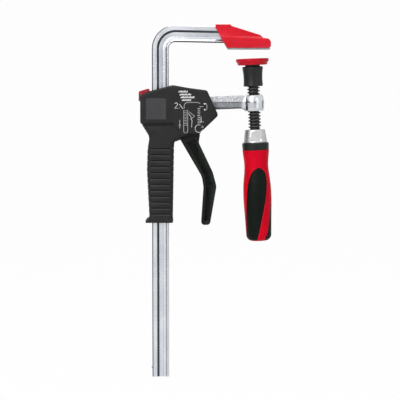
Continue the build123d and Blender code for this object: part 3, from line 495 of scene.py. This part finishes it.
def roundedPath(corners, radii, steps=5):
    # Each corner is swapped for a quadratic curve from radius before it to radius past it:
    # (1-t)^2 A + 2t(1-t) corner + t^2 B, with t from 0 to 1.
    corners = np.array(corners, float)
    t = np.linspace(0, 1, steps)[:, None]
    path = [corners[:1]]
    for before, corner, after, radius in zip(corners, corners[1:], corners[2:], radii):
        back = (before - corner) / np.linalg.norm(before - corner)
        on = (after - corner) / np.linalg.norm(after - corner)
        start, end = corner + back * radius, corner + on * radius
        path.append((1 - t) ** 2 * start + 2 * t * (1 - t) * corner + t ** 2 * end)
    path.append(corners[-1:])
    return np.concatenate(path)


def meshFromRows(name, rows, joined=False, uv=None, marks=None):
    # Rings of points joined row to row. Each end is closed by a fan about the ring's middle,
    # or joined=True joins the last ring to the first. The faces are turned outwards by the
    # sign of the volume that they enclose, the sum of a . (b x c) / 6 over the triangles.
    count, around = rows.shape[:2]
    ring = np.arange(around)
    following = np.roll(ring, -1)
    low = np.arange(count if joined else count - 1)[:, None] * around
    high = (low + around) % (count * around)
    quads = np.stack([low + ring, low + following, high + following, high + ring], -1).reshape(-1, 4)
    points = rows.reshape(-1, 3)
    fans = np.zeros((0, 3), int)
    if not joined:
        points = np.concatenate([points, rows[:1].mean(1), rows[-1:].mean(1)])
        middle = np.full(around, count * around)
        last = (count - 1) * around
        fans = np.concatenate([
            np.stack([following, ring, middle], -1), np.stack([last + ring, last + following, middle + 1], -1),
        ])
    triangles = np.concatenate([quads[:, :3], quads[:, [0, 2, 3]], fans])
    a, b, c = points[triangles].transpose(1, 0, 2)
    flipped = np.einsum("ij,ij->i", a, np.cross(b, c)).sum() < 0
    turn = slice(None, None, -1) if flipped else slice(None)
    mesh = bpy.data.meshes.new(name)
    mesh.from_pydata(points.tolist(), [], quads[:, turn].tolist() + fans[:, turn].tolist())
    if uv is not None:
        flat = np.zeros((len(quads) * 4 + len(fans) * 3, 2))
        corner = np.stack([uv[:-1, :-1], uv[:-1, 1:], uv[1:, 1:], uv[1:, :-1]], 2)
        flat[:len(quads) * 4] = corner[:, :, turn].reshape(-1, 2)
        mesh.uv_layers.new(name="barLength").data.foreach_set("uv", flat.ravel())
    for label, values in (marks or {}).items():
        padded = np.zeros(len(points))
        padded[:values.size] = values.ravel()
        mesh.attributes.new(label, "FLOAT", "POINT").data.foreach_set("value", padded)
    mesh.validate()
    return mesh


def addPiece(name, mesh, material, body, replaced=(), sharpAngle=32):
    # puts a mesh into the scene as a piece: smooth between its sharp edges, riding on a body
    mesh.materials.clear()
    mesh.materials.append(material)
    mesh.polygons.foreach_set("use_smooth", np.ones(len(mesh.polygons), bool))
    mesh.set_sharp_from_angle(angle=math.radians(sharpAngle))
    piece = bpy.data.objects.new(name, mesh)
    bpy.context.scene.collection.objects.link(piece)
    weights = piece.modifiers.new("faceWeights", "WEIGHTED_NORMAL")
    weights.keep_sharp = True
    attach(piece, body)
    if replaced:
        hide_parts(*replaced)
    return piece


def shellOf(node, name, material, body, sharpAngle=32):
    # a copy of a solid's surface, merged so that it can be shaded smoothly
    mesh = nodes[node].data.copy()
    mesh.name = name
    work = bmesh.new()
    work.from_mesh(mesh)
    bmesh.ops.remove_doubles(work, verts=work.verts, dist=0.002 * mm)
    work.to_mesh(mesh)
    work.free()
    return addPiece(name, mesh, material, body, [node], sharpAngle)


# ---- the spindle's axis, read from the frame

feed = next(joint for joint in frame["joints"] if joint["name"] == "spindle_feed")
axisDown = np.array(feed["axis"], float) / np.linalg.norm(feed["axis"])
axisSide = np.array([-axisDown[2], 0.0, axisDown[0]])
axisBack = np.array([0.0, 1.0, 0.0])


def nodePoints(node):
    points = np.zeros(len(nodes[node].data.vertices) * 3)
    nodes[node].data.vertices.foreach_get("co", points)
    return points.reshape(-1, 3)


def reachOf(node):
    # how far down the axis a node starts and ends, in metres
    along = nodePoints(node) @ axisDown
    return along.min(), along.max()


def turnedRows(profile, around=96, shape=None):
    # A profile of (distance down the axis, radius) turned about the axis:
    # point = s * down + r * (cos a * side + sin a * back); shape(s, a, r) may change r.
    s, r = profile[:, :1], profile[:, 1:]
    a = np.arange(around) * 2 * np.pi / around
    r = r * np.ones(around) if shape is None else shape(s, a, r)
    spread = np.cos(a)[:, None] * axisSide + np.sin(a)[:, None] * axisBack
    return s[:, :, None] * axisDown + r[:, :, None] * spread


# ---- rail: the drawn bar, carried up the straight, round the bend and along the arm

railShape = {
    "width": 16.0 * mm, "outerRib": 4.7 * mm, "outerSlope": 2.0 * mm, "innerRib": 1.7 * mm,
    "slope": 1.3 * mm, "depth": 1.3 * mm, "edge": 0.4 * mm, "bevel": 0.7 * mm, "step": 3.9 * mm,
    "stepDepth": 0.16 * mm, "bendInside": 6.5 * mm, "bendTurn": 91.2, "armEnd": 8.8 * mm,
    "slopeFrom": -22.0 * mm, "slopeStart": 2.4 * mm, "slopeDrop": 0.3141, "crease": 0.12 * mm,
}


def railProfile(look, halfThick):
    # One face's points, each (across, out, how dark the painted reflection lies there), from the
    # outer edge to the inner edge; the other face repeats them backwards.
    half = look["width"] / 2
    floor = halfThick - look["depth"]
    slopeA = -half + look["outerRib"]
    floorA = slopeA + look["outerSlope"]
    slopeB = half - look["innerRib"]
    floorB = slopeB - look["slope"]
    step = floorA + look["step"]
    crease, bevel = look["crease"], look["bevel"]
    face = [
        (-half, halfThick - bevel, 0), (-half + bevel, halfThick, 0),
        (-half + bevel + look["edge"], halfThick, 0),
        (slopeA - crease, halfThick, 0), (slopeA, halfThick - crease, 0.9), (floorA, floor + crease, 0.95),
        (floorA + crease, floor, 0.1), (step - 3 * crease, floor, 0.0), (step, floor - look["stepDepth"], 0.5),
        (step + 3 * crease, floor, 0.0), (floorB - crease, floor, 0.0), (floorB, floor + crease, 0.42),
        (slopeB, halfThick - crease, 0.25), (slopeB + crease, halfThick, 0.0),
        (half - bevel - look["edge"], halfThick, 0), (half - bevel, halfThick, 0), (half, halfThick - bevel, 0),
    ]
    face = np.array(face)
    other = face[::-1] * (1, -1, 1)
    return np.concatenate([face, other])


def makeRail(look):
    low, high = (np.array(corner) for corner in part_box("rail"))
    profile = railProfile(look, (high[1] - low[1]) / 2)
    across, out, darkReflection = profile.T
    half = look["width"] / 2
    middle = low[0] + half
    bendRadius = look["bendInside"] + half
    bendZ = high[2] - bendRadius - half
    turn = np.radians(look["bendTurn"])
    angles = np.linspace(0, turn, 49)
    straight = np.linspace(low[2], bendZ, 40)[:-1]
    climb = np.stack([np.zeros_like(straight), straight], -1)
    endX = middle + bendRadius - bendRadius * np.cos(turn)
    armLength = (look["armEnd"] - endX) / np.sin(turn)
    run = np.linspace(0, armLength, 24)[1:]
    # centre line and the direction towards the bar's inner edge, row by row
    centre = np.concatenate([
        climb + (middle, 0),
        np.stack([middle + bendRadius * (1 - np.cos(angles)), bendZ + bendRadius * np.sin(angles)], -1),
        np.stack([endX + run * np.sin(turn), bendZ + bendRadius * np.sin(turn) + run * np.cos(turn)], -1),
    ])
    facing = np.concatenate([np.zeros(len(straight)), angles, np.full(len(run), turn)])
    inward = np.stack([np.cos(facing), -np.sin(facing)], -1)
    place = centre[:, None] + across[None, :, None] * inward[:, None]
    rows = np.stack([place[..., 0], np.broadcast_to(out, place.shape[:2]), place[..., 1]], -1)
    # the arm's end is forged down to the cap's slope: z is held under a falling line
    past = rows[..., 0] - look["slopeFrom"]
    slopeTop = high[2] - look["slopeStart"] - look["slopeDrop"] * np.maximum(past, 0)
    sloped = rows[..., 0] > look["slopeFrom"]
    rows[..., 2] = np.where(sloped, np.minimum(rows[..., 2], slopeTop), rows[..., 2])
    # the painted dark reflection: the outer edge is dark on the straight, the inner edge is dark along the arm
    onArm = (facing / turn)[:, None]
    outer = (across <= -half + look["bevel"] * 1.1)[None] * 0.95 * (1 - onArm ** 4)
    inner = (across >= half - look["bevel"] * 1.1)[None] * (0.15 + 0.8 * onArm ** 2)
    marks = {"darkReflection": np.maximum(np.maximum(darkReflection[None], outer), inner)}
    length = np.concatenate([[0], np.cumsum(np.linalg.norm(np.diff(centre, axis=0), axis=1))])
    girth = np.cumsum(np.linalg.norm(np.diff(profile[:, :2], axis=0, append=profile[:1, :2]), axis=1))
    uv = np.stack(np.meshgrid(np.concatenate([[0], girth]), length), -1)
    mesh = meshFromRows("railBar", rows, uv=uv, marks=marks)
    addPiece("railBar", mesh, materials["rail"], "rail", ["rail"], sharpAngle=40)


makeRail(railShape)
print("rail done")


# ---- fixed jaw, casing, lever and arm: merged copies of their solids

shells = [
    ("jaw_cap", "jawCapShell", "jaw", "rail", "jaw_red"),
    ("casing_front", "casingFrontShell", "casing", "carriage", "casing_black"),
    ("casing_back", "casingBackShell", "casing", "carriage", "casing_black"),
    ("lever", "leverShell", "lever", "lever", "lever_black"),
    ("release_button", "buttonShell", "button", "release_button", "button_red"),
    ("sliding_arm", "armForging", "arm", "carriage", "forged_steel"),
    ("handle_body", "handleShell", "handle", "spindle", "handle_red"),
] + [(f"handle_insert_{n}", f"handleInsert{n}", "insert", "spindle", "insert_black") for n in (1, 2, 3)]
for node, name, finish, body, slot in shells:
    shellOf(node, name, materials[finish], body)
print("shells done")


# ---- spindle: ball, neck, journal and a trapezoidal thread on one turned surface

spindleShape = {
    "root": 4.55 * mm, "crest": 6.0 * mm, "pitch": 3.0 * mm, "crestWidth": 1.0 * mm, "flank": 0.39 * mm,
    "threadTop": 30.4 * mm, "threadFoot": 75.7 * mm, "ball": 3.2 * mm, "neck": 2.1 * mm,
    "journal": 4.4 * mm, "journalTop": 19.5 * mm, "shoulder": 29.5 * mm, "tang": 4.0 * mm,
    "rowStep": 0.13 * mm,
}


def makeSpindle(look):
    start, end = reachOf("spindle")
    ballAt = start + look["ball"]
    neckAngle = math.asin(look["neck"] / look["ball"])
    ballAngles = np.linspace(0.03, np.pi - neckAngle, 16)
    ball = np.stack([ballAt - look["ball"] * np.cos(ballAngles), look["ball"] * np.sin(ballAngles)], -1)
    stem = roundedPath([
        (ball[-1, 0], look["neck"]), (look["journalTop"] - 0.6 * mm, look["neck"]),
        (look["journalTop"], look["journal"] - 0.3 * mm), (look["shoulder"] - 0.3 * mm, look["journal"]),
        (look["shoulder"], look["root"]),
    ], [0.4 * mm, 0.2 * mm, 0.1 * mm])
    count = round((look["threadFoot"] - look["threadTop"]) / look["rowStep"])
    threadRows = np.linspace(look["threadTop"], look["threadFoot"], count)
    thread = np.stack([threadRows, np.full(count, look["root"])], -1)
    tail = roundedPath([
        (look["threadFoot"] + 0.8 * mm, look["root"]), (look["threadFoot"] + 1.6 * mm, look["tang"]),
        (end - 1 * mm, look["tang"]), (end, look["tang"] - 1 * mm),
    ], [0.2 * mm, 0.2 * mm])
    profile = np.concatenate([ball, stem[1:], thread, tail])
    rise = look["crest"] - look["root"]

    def tooth(s, a, r):
        # A right-hand trapezoidal thread: the height falls off with the distance, along the
        # axis, from the helix s = a turn's share of the pitch, and fades out at both ends.
        phase = (s - look["threadTop"]) / look["pitch"] + a / (2 * np.pi)
        away = np.abs((phase + 0.5) % 1 - 0.5) * look["pitch"]
        height = np.clip((look["crestWidth"] / 2 + look["flank"] - away) / look["flank"], 0, 1)
        inside = np.minimum(s - look["threadTop"], look["threadFoot"] - s) / look["pitch"]
        return r + rise * height * np.clip(inside * 2, 0, 1)

    rows = turnedRows(profile, 88, tooth)
    along = rows @ axisDown
    radius = np.linalg.norm(rows - along[..., None] * axisDown, axis=-1)
    crest = np.clip((radius - look["crest"] + 0.25 * mm) / (0.25 * mm), 0, 1)
    mesh = meshFromRows("spindleScrew", rows, marks={"crest": crest})
    addPiece("spindleScrew", mesh, materials["screw"], "spindle", ["spindle"], sharpAngle=60)


makeSpindle(spindleShape)


# ---- ferrule, collar, pad and sleeve

ferruleShape = {
    "topRadius": 9.5 * mm, "footRadius": 11.3 * mm, "bore": 4.7 * mm, "round": 0.7 * mm,
    "flat": 9.1 * mm, "flatHalfWidth": 5.1 * mm, "flatFrom": 1.8 * mm, "flatHeight": 9.2 * mm,
}


def makeFerrule(look):
    top, foot = reachOf("handle_ferrule")
    flatTop = top + look["flatFrom"]
    flatFoot = flatTop + look["flatHeight"]
    lip = 0.05 * mm

    def cone(at):
        return look["topRadius"] + (look["footRadius"] - look["topRadius"]) * (at - top) / (foot - top)

    cuts = np.concatenate([[flatTop - lip], np.linspace(flatTop, flatFoot, 8), [flatFoot + lip]])
    crown = roundedPath([(top, look["bore"]), (top, cone(top)), (cuts[0], cone(cuts[0]))], [look["round"]])
    heel = roundedPath([(cuts[-1], cone(cuts[-1])), (foot, cone(foot)), (foot, look["bore"])], [0.25 * mm])
    profile = np.concatenate([crown[:-1], np.stack([cuts, cone(cuts)], -1), heel[1:]])

    def flats(s, a, r):
        # two opposite flats: where r |cos a| is within a flat's half width, the radius is cut
        # to the flat's distance / |sin a|
        onFlats = (s >= flatTop) & (s <= flatFoot) & (r * np.abs(np.cos(a)) < look["flatHalfWidth"])
        cut = look["flat"] / np.maximum(np.abs(np.sin(a)), 0.01)
        return np.where(onFlats, np.minimum(r, cut), r * np.ones_like(a))

    rows = turnedRows(profile, 144, flats)
    mesh = meshFromRows("ferruleCone", rows, joined=True)
    addPiece("ferruleCone", mesh, materials["ferrule"], "spindle", ["handle_ferrule"], 25)


makeFerrule(ferruleShape)

collarShape = {
    "bore": 4.3 * mm, "topRadius": 11.95 * mm, "radius": 12.85 * mm, "footRadius": 12.55 * mm,
    "slopeHeight": 1.1 * mm,
}


def makeCollar(look):
    top, foot = reachOf("handle_collar")
    profile = roundedPath([
        (top, look["bore"]), (top, look["topRadius"]), (top + look["slopeHeight"], look["radius"]),
        (foot, look["footRadius"]), (foot, look["bore"]),
    ], [0.25 * mm, 0.25 * mm, 0.2 * mm])
    mesh = meshFromRows("handleCollarRing", turnedRows(profile, 96), joined=True)
    addPiece("handleCollarRing", mesh, materials["collar"], "spindle", ["handle_collar"])


makeCollar(collarShape)

padShape = {
    "rim": 15.6 * mm, "rimHeight": 3.0 * mm, "skirt": 14.6 * mm, "skirtFoot": 13.8 * mm,
    "wall": 1.5 * mm, "lip": 11.4 * mm, "crown": 0.35 * mm,
}


def makePad(look):
    # the clamping face is pressed in by a slow dish: depth = crown * (1 - (r / rim)^2)
    top, foot = reachOf("pad_cap")
    across = np.linspace(0.02, 0.9, 10) * look["rim"]
    face = np.stack([top + look["crown"] * (1 - (across / look["rim"]) ** 2), across], -1)
    side = roundedPath([
        tuple(face[-1]), (top, look["rim"]), (top + look["rimHeight"], look["rim"]),
        (top + look["rimHeight"] + 0.4 * mm, look["skirt"]), (foot, look["skirtFoot"]), (foot, look["lip"]),
        (top + look["wall"], look["lip"]), (top + look["wall"], 0.3 * mm),
    ], [0.5 * mm, 0.5 * mm, 0.25 * mm, 0.5 * mm, 0.2 * mm, 0.2 * mm])
    mesh = meshFromRows("padDisc", turnedRows(np.concatenate([face, side[1:]]), 120))
    addPiece("padDisc", mesh, materials["pad"], "pad", ["pad_cap"])


makePad(padShape)

sleeveShape = {
    "top": 9.9 * mm, "waist": 9.0 * mm, "foot": 9.3 * mm, "waistAt": 11.0 * mm, "topRound": 1.3 * mm,
    "dish": 7.9 * mm, "dishDepth": 5.1 * mm, "bore": 4.5 * mm, "skirt": 6.4 * mm, "skirtDepth": 5.6 * mm,
}


def makeSleeve(look):
    # The outside follows a parabola through the top, the waist and the foot.
    top, foot = reachOf("pad_sleeve")
    at = np.array([top + look["topRound"], top + look["waistAt"], foot - 0.5 * mm])
    curve = np.polynomial.Polynomial.fit(at, [look["top"], look["waist"], look["foot"]], 2)
    s = np.linspace(at[0], at[2], 24)
    side = np.stack([s, curve(s)], -1)
    turn = np.linspace(0, np.pi / 2, 6)[:-1]
    crown = np.stack([
        top + look["topRound"] * (1 - np.sin(turn)), look["top"] - look["topRound"] * (1 - np.cos(turn)),
    ], -1)[::-1]
    inside = [
        (foot, look["foot"] - 0.5 * mm), (foot, look["skirt"]), (foot - look["skirtDepth"], look["skirt"]),
        (foot - look["skirtDepth"], look["bore"]), (top + look["dishDepth"], look["bore"]),
        (top + look["dishDepth"], look["dish"]), (top, look["dish"]),
    ]
    profile = np.concatenate([crown, side, roundedPath(inside, [0.2 * mm] * 5)])
    mesh = meshFromRows("sleeveTurned", turnedRows(profile, 96), joined=True)
    addPiece("sleeveTurned", mesh, materials["sleeve"], "pad_sleeve", ["pad_sleeve"])


makeSleeve(sleeveShape)
print("spindle and pad done")


# ---- marks and panel on the casing's front

markShape = {
    "stroke": 0.65 * mm, "thick": 0.05 * mm, "fine": 0.5 * mm, "raised": 1.2 * mm,
    "tickPitch": 1.1, "tickWidth": 0.7 * mm, "tickInk": 0.95,
}
panelShape = {
    "left": -100.5 * mm, "right": -81.6 * mm, "top": -46.4 * mm, "foot": -66.3 * mm, "corner": 1.4 * mm,
    "proud": 0.2 * mm,
}
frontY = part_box("casing_front")[0][1]


def strokeParts(points, width, thick, ink):
    # A flat ribbon along a line: each point is moved half a width to both sides of it, along
    # the normal (-dz, dx), and the ribbon is given a thickness towards the front.
    points = np.array(points, float) * mm + (0, markShape["raised"])
    way = np.gradient(points, axis=0)
    way /= np.linalg.norm(way, axis=1, keepdims=True)
    side = np.stack([-way[:, 1], way[:, 0]], -1) * width / 2
    flat = np.stack([points + side, points - side], 1)
    front = np.insert(flat, 1, frontY - thick, axis=2)
    back = np.insert(flat, 1, frontY, axis=2)
    rows = np.stack([front[:, 0], front[:, 1], back[:, 1], back[:, 0]], 1)
    return rows, np.full(rows.shape[:2], ink)


def arc(x, z, radius, start, end, count=12):
    a = np.radians(np.linspace(start, end, count))
    return np.stack([x + radius * np.cos(a), z + radius * np.sin(a)], -1)


def line(x0, z0, x1, z1):
    return np.array([(x0, z0), (x1, z1)])


def digitOne(x, z):
    stem = np.array([(x - 1.1, z + 1.6), (x, z + 2.6), (x, z - 2.6)])
    return [stem, line(x - 1.1, z - 2.6, x + 1.1, z - 2.6)]


def digitTwo(x, z):
    bow = arc(x, z + 1.2, 1.4, 160, -25, 10)
    return [np.concatenate([bow, [(x - 1.4, z - 2.6), (x + 1.5, z - 2.6)]])]


def arrowHead(x, z, size):
    return [np.array([(x - size, z - size), (x, z + size), (x + size, z - size)])]


def markStrokes():
    # slanted ticks, plain numbers, arrows and a scale, each a stroke with its width and ink
    bold, fine, pitch = markShape["stroke"], markShape["fine"], markShape["tickPitch"]
    strokes = []
    rows = [(-69.4, 9.0, -41.3), (-68.4, 11.0, -44.1), (-67.4, 14.2, -46.7), (-66.2, 9.2, -49.3)]
    for row, (x, length, z) in enumerate(rows):
        for i in range(int(length / pitch)):
            tall = 0.95 + 0.3 * ((i * 7 + row * 3) % 3) / 2
            start = x + i * pitch
            tick = line(start, z - 0.8, start + 0.3 * tall, z - 0.8 + 1.5 * tall)
            strokes.append((tick, markShape["tickWidth"], markShape["tickInk"]))
    strokes += [(points, fine, 0.8) for points in digitTwo(-72.0, -54.4)]
    strokes.append((line(-69.3, -56.7, -68.9, -56.7), fine, 0.8))
    strokes += [(points, fine, 0.9) for points in digitOne(-48.4, -67.4)]
    strokes.append((line(-46.4, -69.9, -46.0, -69.9), fine, 0.9))
    strokes.append((line(-68.9, -53.0, -65.6, -57.6), bold, 0.65))
    # a guide bar with a ring at its foot
    strokes += [(line(x, -58.5, x, -78.4), fine, 0.38) for x in (-64.9, -61.1)]
    strokes += [(line(-64.9, z, -61.1, z), 0.5 * mm, 0.3) for z in np.arange(-59.5, -74.5, -1.5)]
    strokes.append((arc(-63.0, -78.4, 1.9, 180, 360), fine, 0.3))
    # a bow above it and a dotted scale beside it
    strokes.append((np.concatenate([
        [(-64.6, -57.5)], arc(-61.0, -54.9, 3.4, 180, 90, 8), [(-52.0, -51.5)],
        arc(-52.0, -54.9, 3.4, 90, 40, 6),
    ]), fine, 0.45))
    strokes += [(line(-51.9 + 0.35 * (i % 2), z, -49.1 - 0.35 * (i % 2), z), fine, 0.6)
                for i, z in enumerate(np.arange(-57.2, -71.5, -1.7))]
    strokes.append((arc(-50.5, -76.2, 3.6, 65, 350, 22), fine, 0.7))
    strokes += [(points, fine, 0.7) for points in arrowHead(-47.1, -74.6, 0.8)]
    # a lever line that swings, with its arrow
    swing = [(-61.0, -61.5), (-58.2, -64.5), (-57.0, -69.0), (-57.4, -75.0)]
    strokes.append((np.array(swing), bold, 0.45))
    strokes.append((line(-60.0, -60.2, -54.6, -64.4), fine, 0.4))
    strokes.append((line(-54.6, -64.4, -58.6, -67.6), fine, 0.4))
    strokes.append((line(-68.6, -68.0, -68.6, -76.0), fine, 0.4))
    strokes += [(points, fine, 0.45) for points in arrowHead(-68.6, -72.6, 0.9)]
    # up and down signs by a gauge line
    for z, turn in ((-52.8, 1), (-58.4, -1)):
        strokes.append((np.array([(-44.9, z - 0.6 * turn), (-44.9, z + 0.6 * turn)]), 1.4 * mm, 0.95))
    strokes.append((arc(-51.0, -55.6, 8.2, -22, 22, 8), 0.5 * mm, 0.4))
    strokes.append((line(-50.2, -55.4, -46.4, -55.4), 0.5 * mm, 0.4))
    return strokes


def makeMarks():
    joined = bmesh.new()
    for number, (points, width, ink) in enumerate(markStrokes()):
        rows, ink = strokeParts(points, width, markShape["thick"], ink)
        joined.from_mesh(meshFromRows(f"mark{number}", rows, marks={"ink": ink}))
    marks = bpy.data.meshes.new("casingMarks")
    joined.to_mesh(marks)
    joined.free()
    addPiece("casingMarks", marks, materials["ink"], "carriage", sharpAngle=20)


def makePanel(look):
    # A plate whose outline is a rectangle with one quarter-circle corner, in three rings.
    x0, x1, z0, z1 = look["left"], look["right"], look["foot"], look["top"]
    corner = arc((x1 - look["corner"]) / mm, (z1 - look["corner"]) / mm, look["corner"] / mm, 0, 90, 9) * mm
    outline = np.concatenate([[(x0, z0), (x1, z0)], corner, [(x0, z1)]])
    middle = outline.mean(0)
    small = middle + (outline - middle) * (1 - 0.25 * mm / (x1 - x0) * 2)
    rings = [
        (outline, frontY + 0.05 * mm), (outline, frontY - look["proud"] * 0.6), (small, frontY - look["proud"]),
    ]
    rows = np.stack([np.insert(points, 1, y, axis=1) for points, y in rings])
    mesh = meshFromRows("casingPanel", rows)
    addPiece("casingPanel", mesh, materials["panel"], "carriage", sharpAngle=20)


makeMarks()
makePanel(panelShape)
print("marks and panel done")


# ---- springs, merged copies of their coils
# A spring's travel in mm is how far the plate comes down over its outer edge, with a little to spare.

springTravel = {
    "drive_spring": ("lever_squeeze", 3.7),
    "brake_spring": ("release_press", 2.5),
}
for node, (joint, travel) in springTravel.items():
    coil = shellOf(node, node + "_coil", materials["spring"], "carriage")
    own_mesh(coil)
print("springs done")


# ---- finishes of the solids that stay as they are

nodeFinish = {
    "stop_pin": "pin", "jaw_plate": "plate", "casing_screws": "fastener", "lever_pin": "pin",
    "pusher_pin": "pin", "drive_plates": "plate", "brake_plate": "plate", "pad_plate": "fastener",
    "ball_cup": "cup", "sleeve_clip": "spring", "tang_pin": "pin",
}
for node, finish in nodeFinish.items():
    mesh = nodes[node].data
    mesh.materials.clear()
    mesh.materials.append(materials[finish])
print("solids finished:", len(nodeFinish))


# ---- floor, backdrop, light and camera

stageShape = {
    "halfWidth": 3.0, "front": -2.5, "wallAt": 1.6, "bend": 0.8, "wallTop": 2.6,
}
studio = {
    "floorWhite": "#f3f3f3", "selfLit": 0.97, "mirrorLit": 0.55, "ambient": 0.42,
    "room": [
        (-180, 0.5), (-150, 0.3), (-130, 0.12), (-60, 0.12), (-46, 0.75), (-12, 0.85), (-2, 0.85),
        (5, 0.16), (28, 0.16), (38, 0.95), (92, 1.0), (112, 0.2), (180, 0.5),
    ], "overhead": 0.95,
    "key": (-0.75, -1.25, 0.55, 0.9, 11.0), "fill": (0.85, -1.2, 0.1, 0.9, 1.3),
    "top": (-0.1, -0.1, 0.95, 0.7, 5.0),
}
camera = {
    "distance": 1.5, "pitch": 4.0, "focalPixels": 1564.4, "imageWidth": 400, "aimX": -49.44 * mm,
    "aimZ": -143.77 * mm, "sensor": 36.0,
}


def backdropMaterial():
    # Pale matt studio vinyl. For camera rays, and less so in reflections, it is partly
    # self-lit, so that it shows white and still holds the object's shadow.
    material = bpy.data.materials.new("studioVinylMatt")
    material.use_nodes = True
    tree = material.node_tree
    tree.nodes.clear()
    path = addNode(tree, "LightPath")
    mirrored = addNode(
        tree, "Math", {1: studio["mirrorLit"]}, {0: path.outputs["Is Glossy Ray"]}, operation="MULTIPLY"
    ).outputs[0]
    share = addNode(
        tree, "Math", {1: studio["selfLit"]}, {0: path.outputs["Is Camera Ray"], 2: mirrored},
        operation="MULTIPLY_ADD",
    ).outputs[0]
    white = addNode(tree, "Emission", {"Color": grey(1.0), "Strength": 1.0}).outputs[0]
    matt = addNode(tree, "BsdfDiffuse", {"Color": linear(studio["floorWhite"])}).outputs[0]
    mixed = addNode(tree, "MixShader", links={0: share, 1: matt, 2: white}).outputs[0]
    addNode(tree, "OutputMaterial", links={"Surface": mixed})
    return material


def makeBackdrop(look):
    # A floor that bends up into a wall: a quarter circle between two straight runs, carried
    # sideways. The floor lies at the rail's foot.
    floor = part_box("rail")[0][2]
    a = np.linspace(0, np.pi / 2, 24)
    bend = np.stack([
        look["wallAt"] + look["bend"] * np.sin(a), floor + look["bend"] * (1 - np.cos(a)),
    ], -1)
    run = np.concatenate([[(look["front"], floor)], bend, [(look["wallAt"] + look["bend"], look["wallTop"])]])
    across = np.linspace(-look["halfWidth"], look["halfWidth"], 5)
    grid = np.stack([np.insert(run, 0, x, axis=1) for x in across])
    count = len(run)
    low = np.arange(len(across) - 1)[:, None] * count + np.arange(count - 1)
    faces = np.stack([low, low + count, low + count + 1, low + 1], -1).reshape(-1, 4)
    mesh = bpy.data.meshes.new("backdrop")
    mesh.from_pydata(grid.reshape(-1, 3).tolist(), [], faces.tolist())
    mesh.polygons.foreach_set("use_smooth", np.ones(len(mesh.polygons), bool))
    mesh.materials.append(backdropMaterial())
    backdrop = bpy.data.objects.new("backdrop", mesh)
    bpy.context.scene.collection.objects.link(backdrop)


def makeWorld():
    # An even soft light. Seen directly it is white; mirrored, it is a room of soft boxes and
    # dark gaps, set by the heading (atan2(x, -y) / 2 pi + 0.5, so 0.5 is behind the camera),
    # with an even ceiling above.
    world = bpy.data.worlds.new("studioAir")
    bpy.context.scene.world = world
    world.use_nodes = True
    tree = world.node_tree
    tree.nodes.clear()
    path = addNode(tree, "LightPath")
    direction = addNode(tree, "TexCoord").outputs["Generated"]
    part = addNode(tree, "SeparateXYZ", links={"Vector": direction}).outputs
    ahead = addNode(tree, "Math", {1: -1.0}, {0: part["Y"]}, operation="MULTIPLY").outputs[0]
    heading = addNode(tree, "Math", links={0: part["X"], 1: ahead}, operation="ARCTAN2").outputs[0]
    turned = addNode(
        tree, "Math", {1: 1 / (2 * math.pi), 2: 0.5}, {0: heading}, operation="MULTIPLY_ADD"
    ).outputs[0]
    room = addNode(tree, "ValToRGB", links={"Fac": turned}, stops=[
        (degrees / 360 + 0.5, grey(light)) for degrees, light in studio["room"]
    ]).outputs[0]
    air = addNode(tree, "Background", {"Color": grey(1.0), "Strength": studio["ambient"]}).outputs[0]
    raised = addNode(tree, "MapRange", {"From Min": 0.05, "From Max": 0.16}, {"Value": part["Z"]}).outputs[0]
    room = addNode(
        tree, "Mix", {7: grey(studio["overhead"])}, {0: raised, 6: room}, data_type="RGBA"
    ).outputs[2]
    mirrored = addNode(tree, "Background", {"Strength": 1.0}, {"Color": room}).outputs[0]
    white = addNode(tree, "Background", {"Color": grey(1.0), "Strength": 1.0}).outputs[0]
    mixed = addNode(tree, "MixShader", links={0: path.outputs["Is Glossy Ray"], 1: air, 2: mirrored}).outputs[0]
    mixed = addNode(tree, "MixShader", links={0: path.outputs["Is Camera Ray"], 1: mixed, 2: white}).outputs[0]
    addNode(tree, "OutputWorld", links={"Surface": mixed})


def makeLamps():
    aim = Vector((camera["aimX"], 0, camera["aimZ"]))
    for name in ("key", "fill", "top"):
        x, y, z, size, power = studio[name]
        lamp = bpy.data.lights.new(name, "AREA")
        lamp.size = size
        lamp.energy = power
        holder = bpy.data.objects.new(name, lamp)
        holder.location = (x, y, z)
        holder.rotation_mode = "QUATERNION"
        holder.rotation_quaternion = (aim - holder.location).to_track_quat("-Z", "Y")
        bpy.context.scene.collection.objects.link(holder)


def makeCamera(look):
    data = bpy.data.cameras.new("camera")
    data.sensor_width = look["sensor"]
    data.lens = look["focalPixels"] / look["imageWidth"] * look["sensor"]
    data.clip_end = 20
    holder = bpy.data.objects.new("camera", data)
    pitch = math.radians(look["pitch"])
    back = Vector((0, -math.cos(pitch), math.sin(pitch)))
    holder.location = Vector((look["aimX"], 0, look["aimZ"])) + back * look["distance"]
    holder.rotation_mode = "QUATERNION"
    holder.rotation_quaternion = (-back).to_track_quat("-Z", "Y")
    bpy.context.scene.collection.objects.link(holder)
    bpy.context.scene.camera = holder


makeBackdrop(stageShape)
makeWorld()
makeLamps()
makeCamera(camera)
bpy.context.scene.view_settings.view_transform = "Standard"
print("stage done")
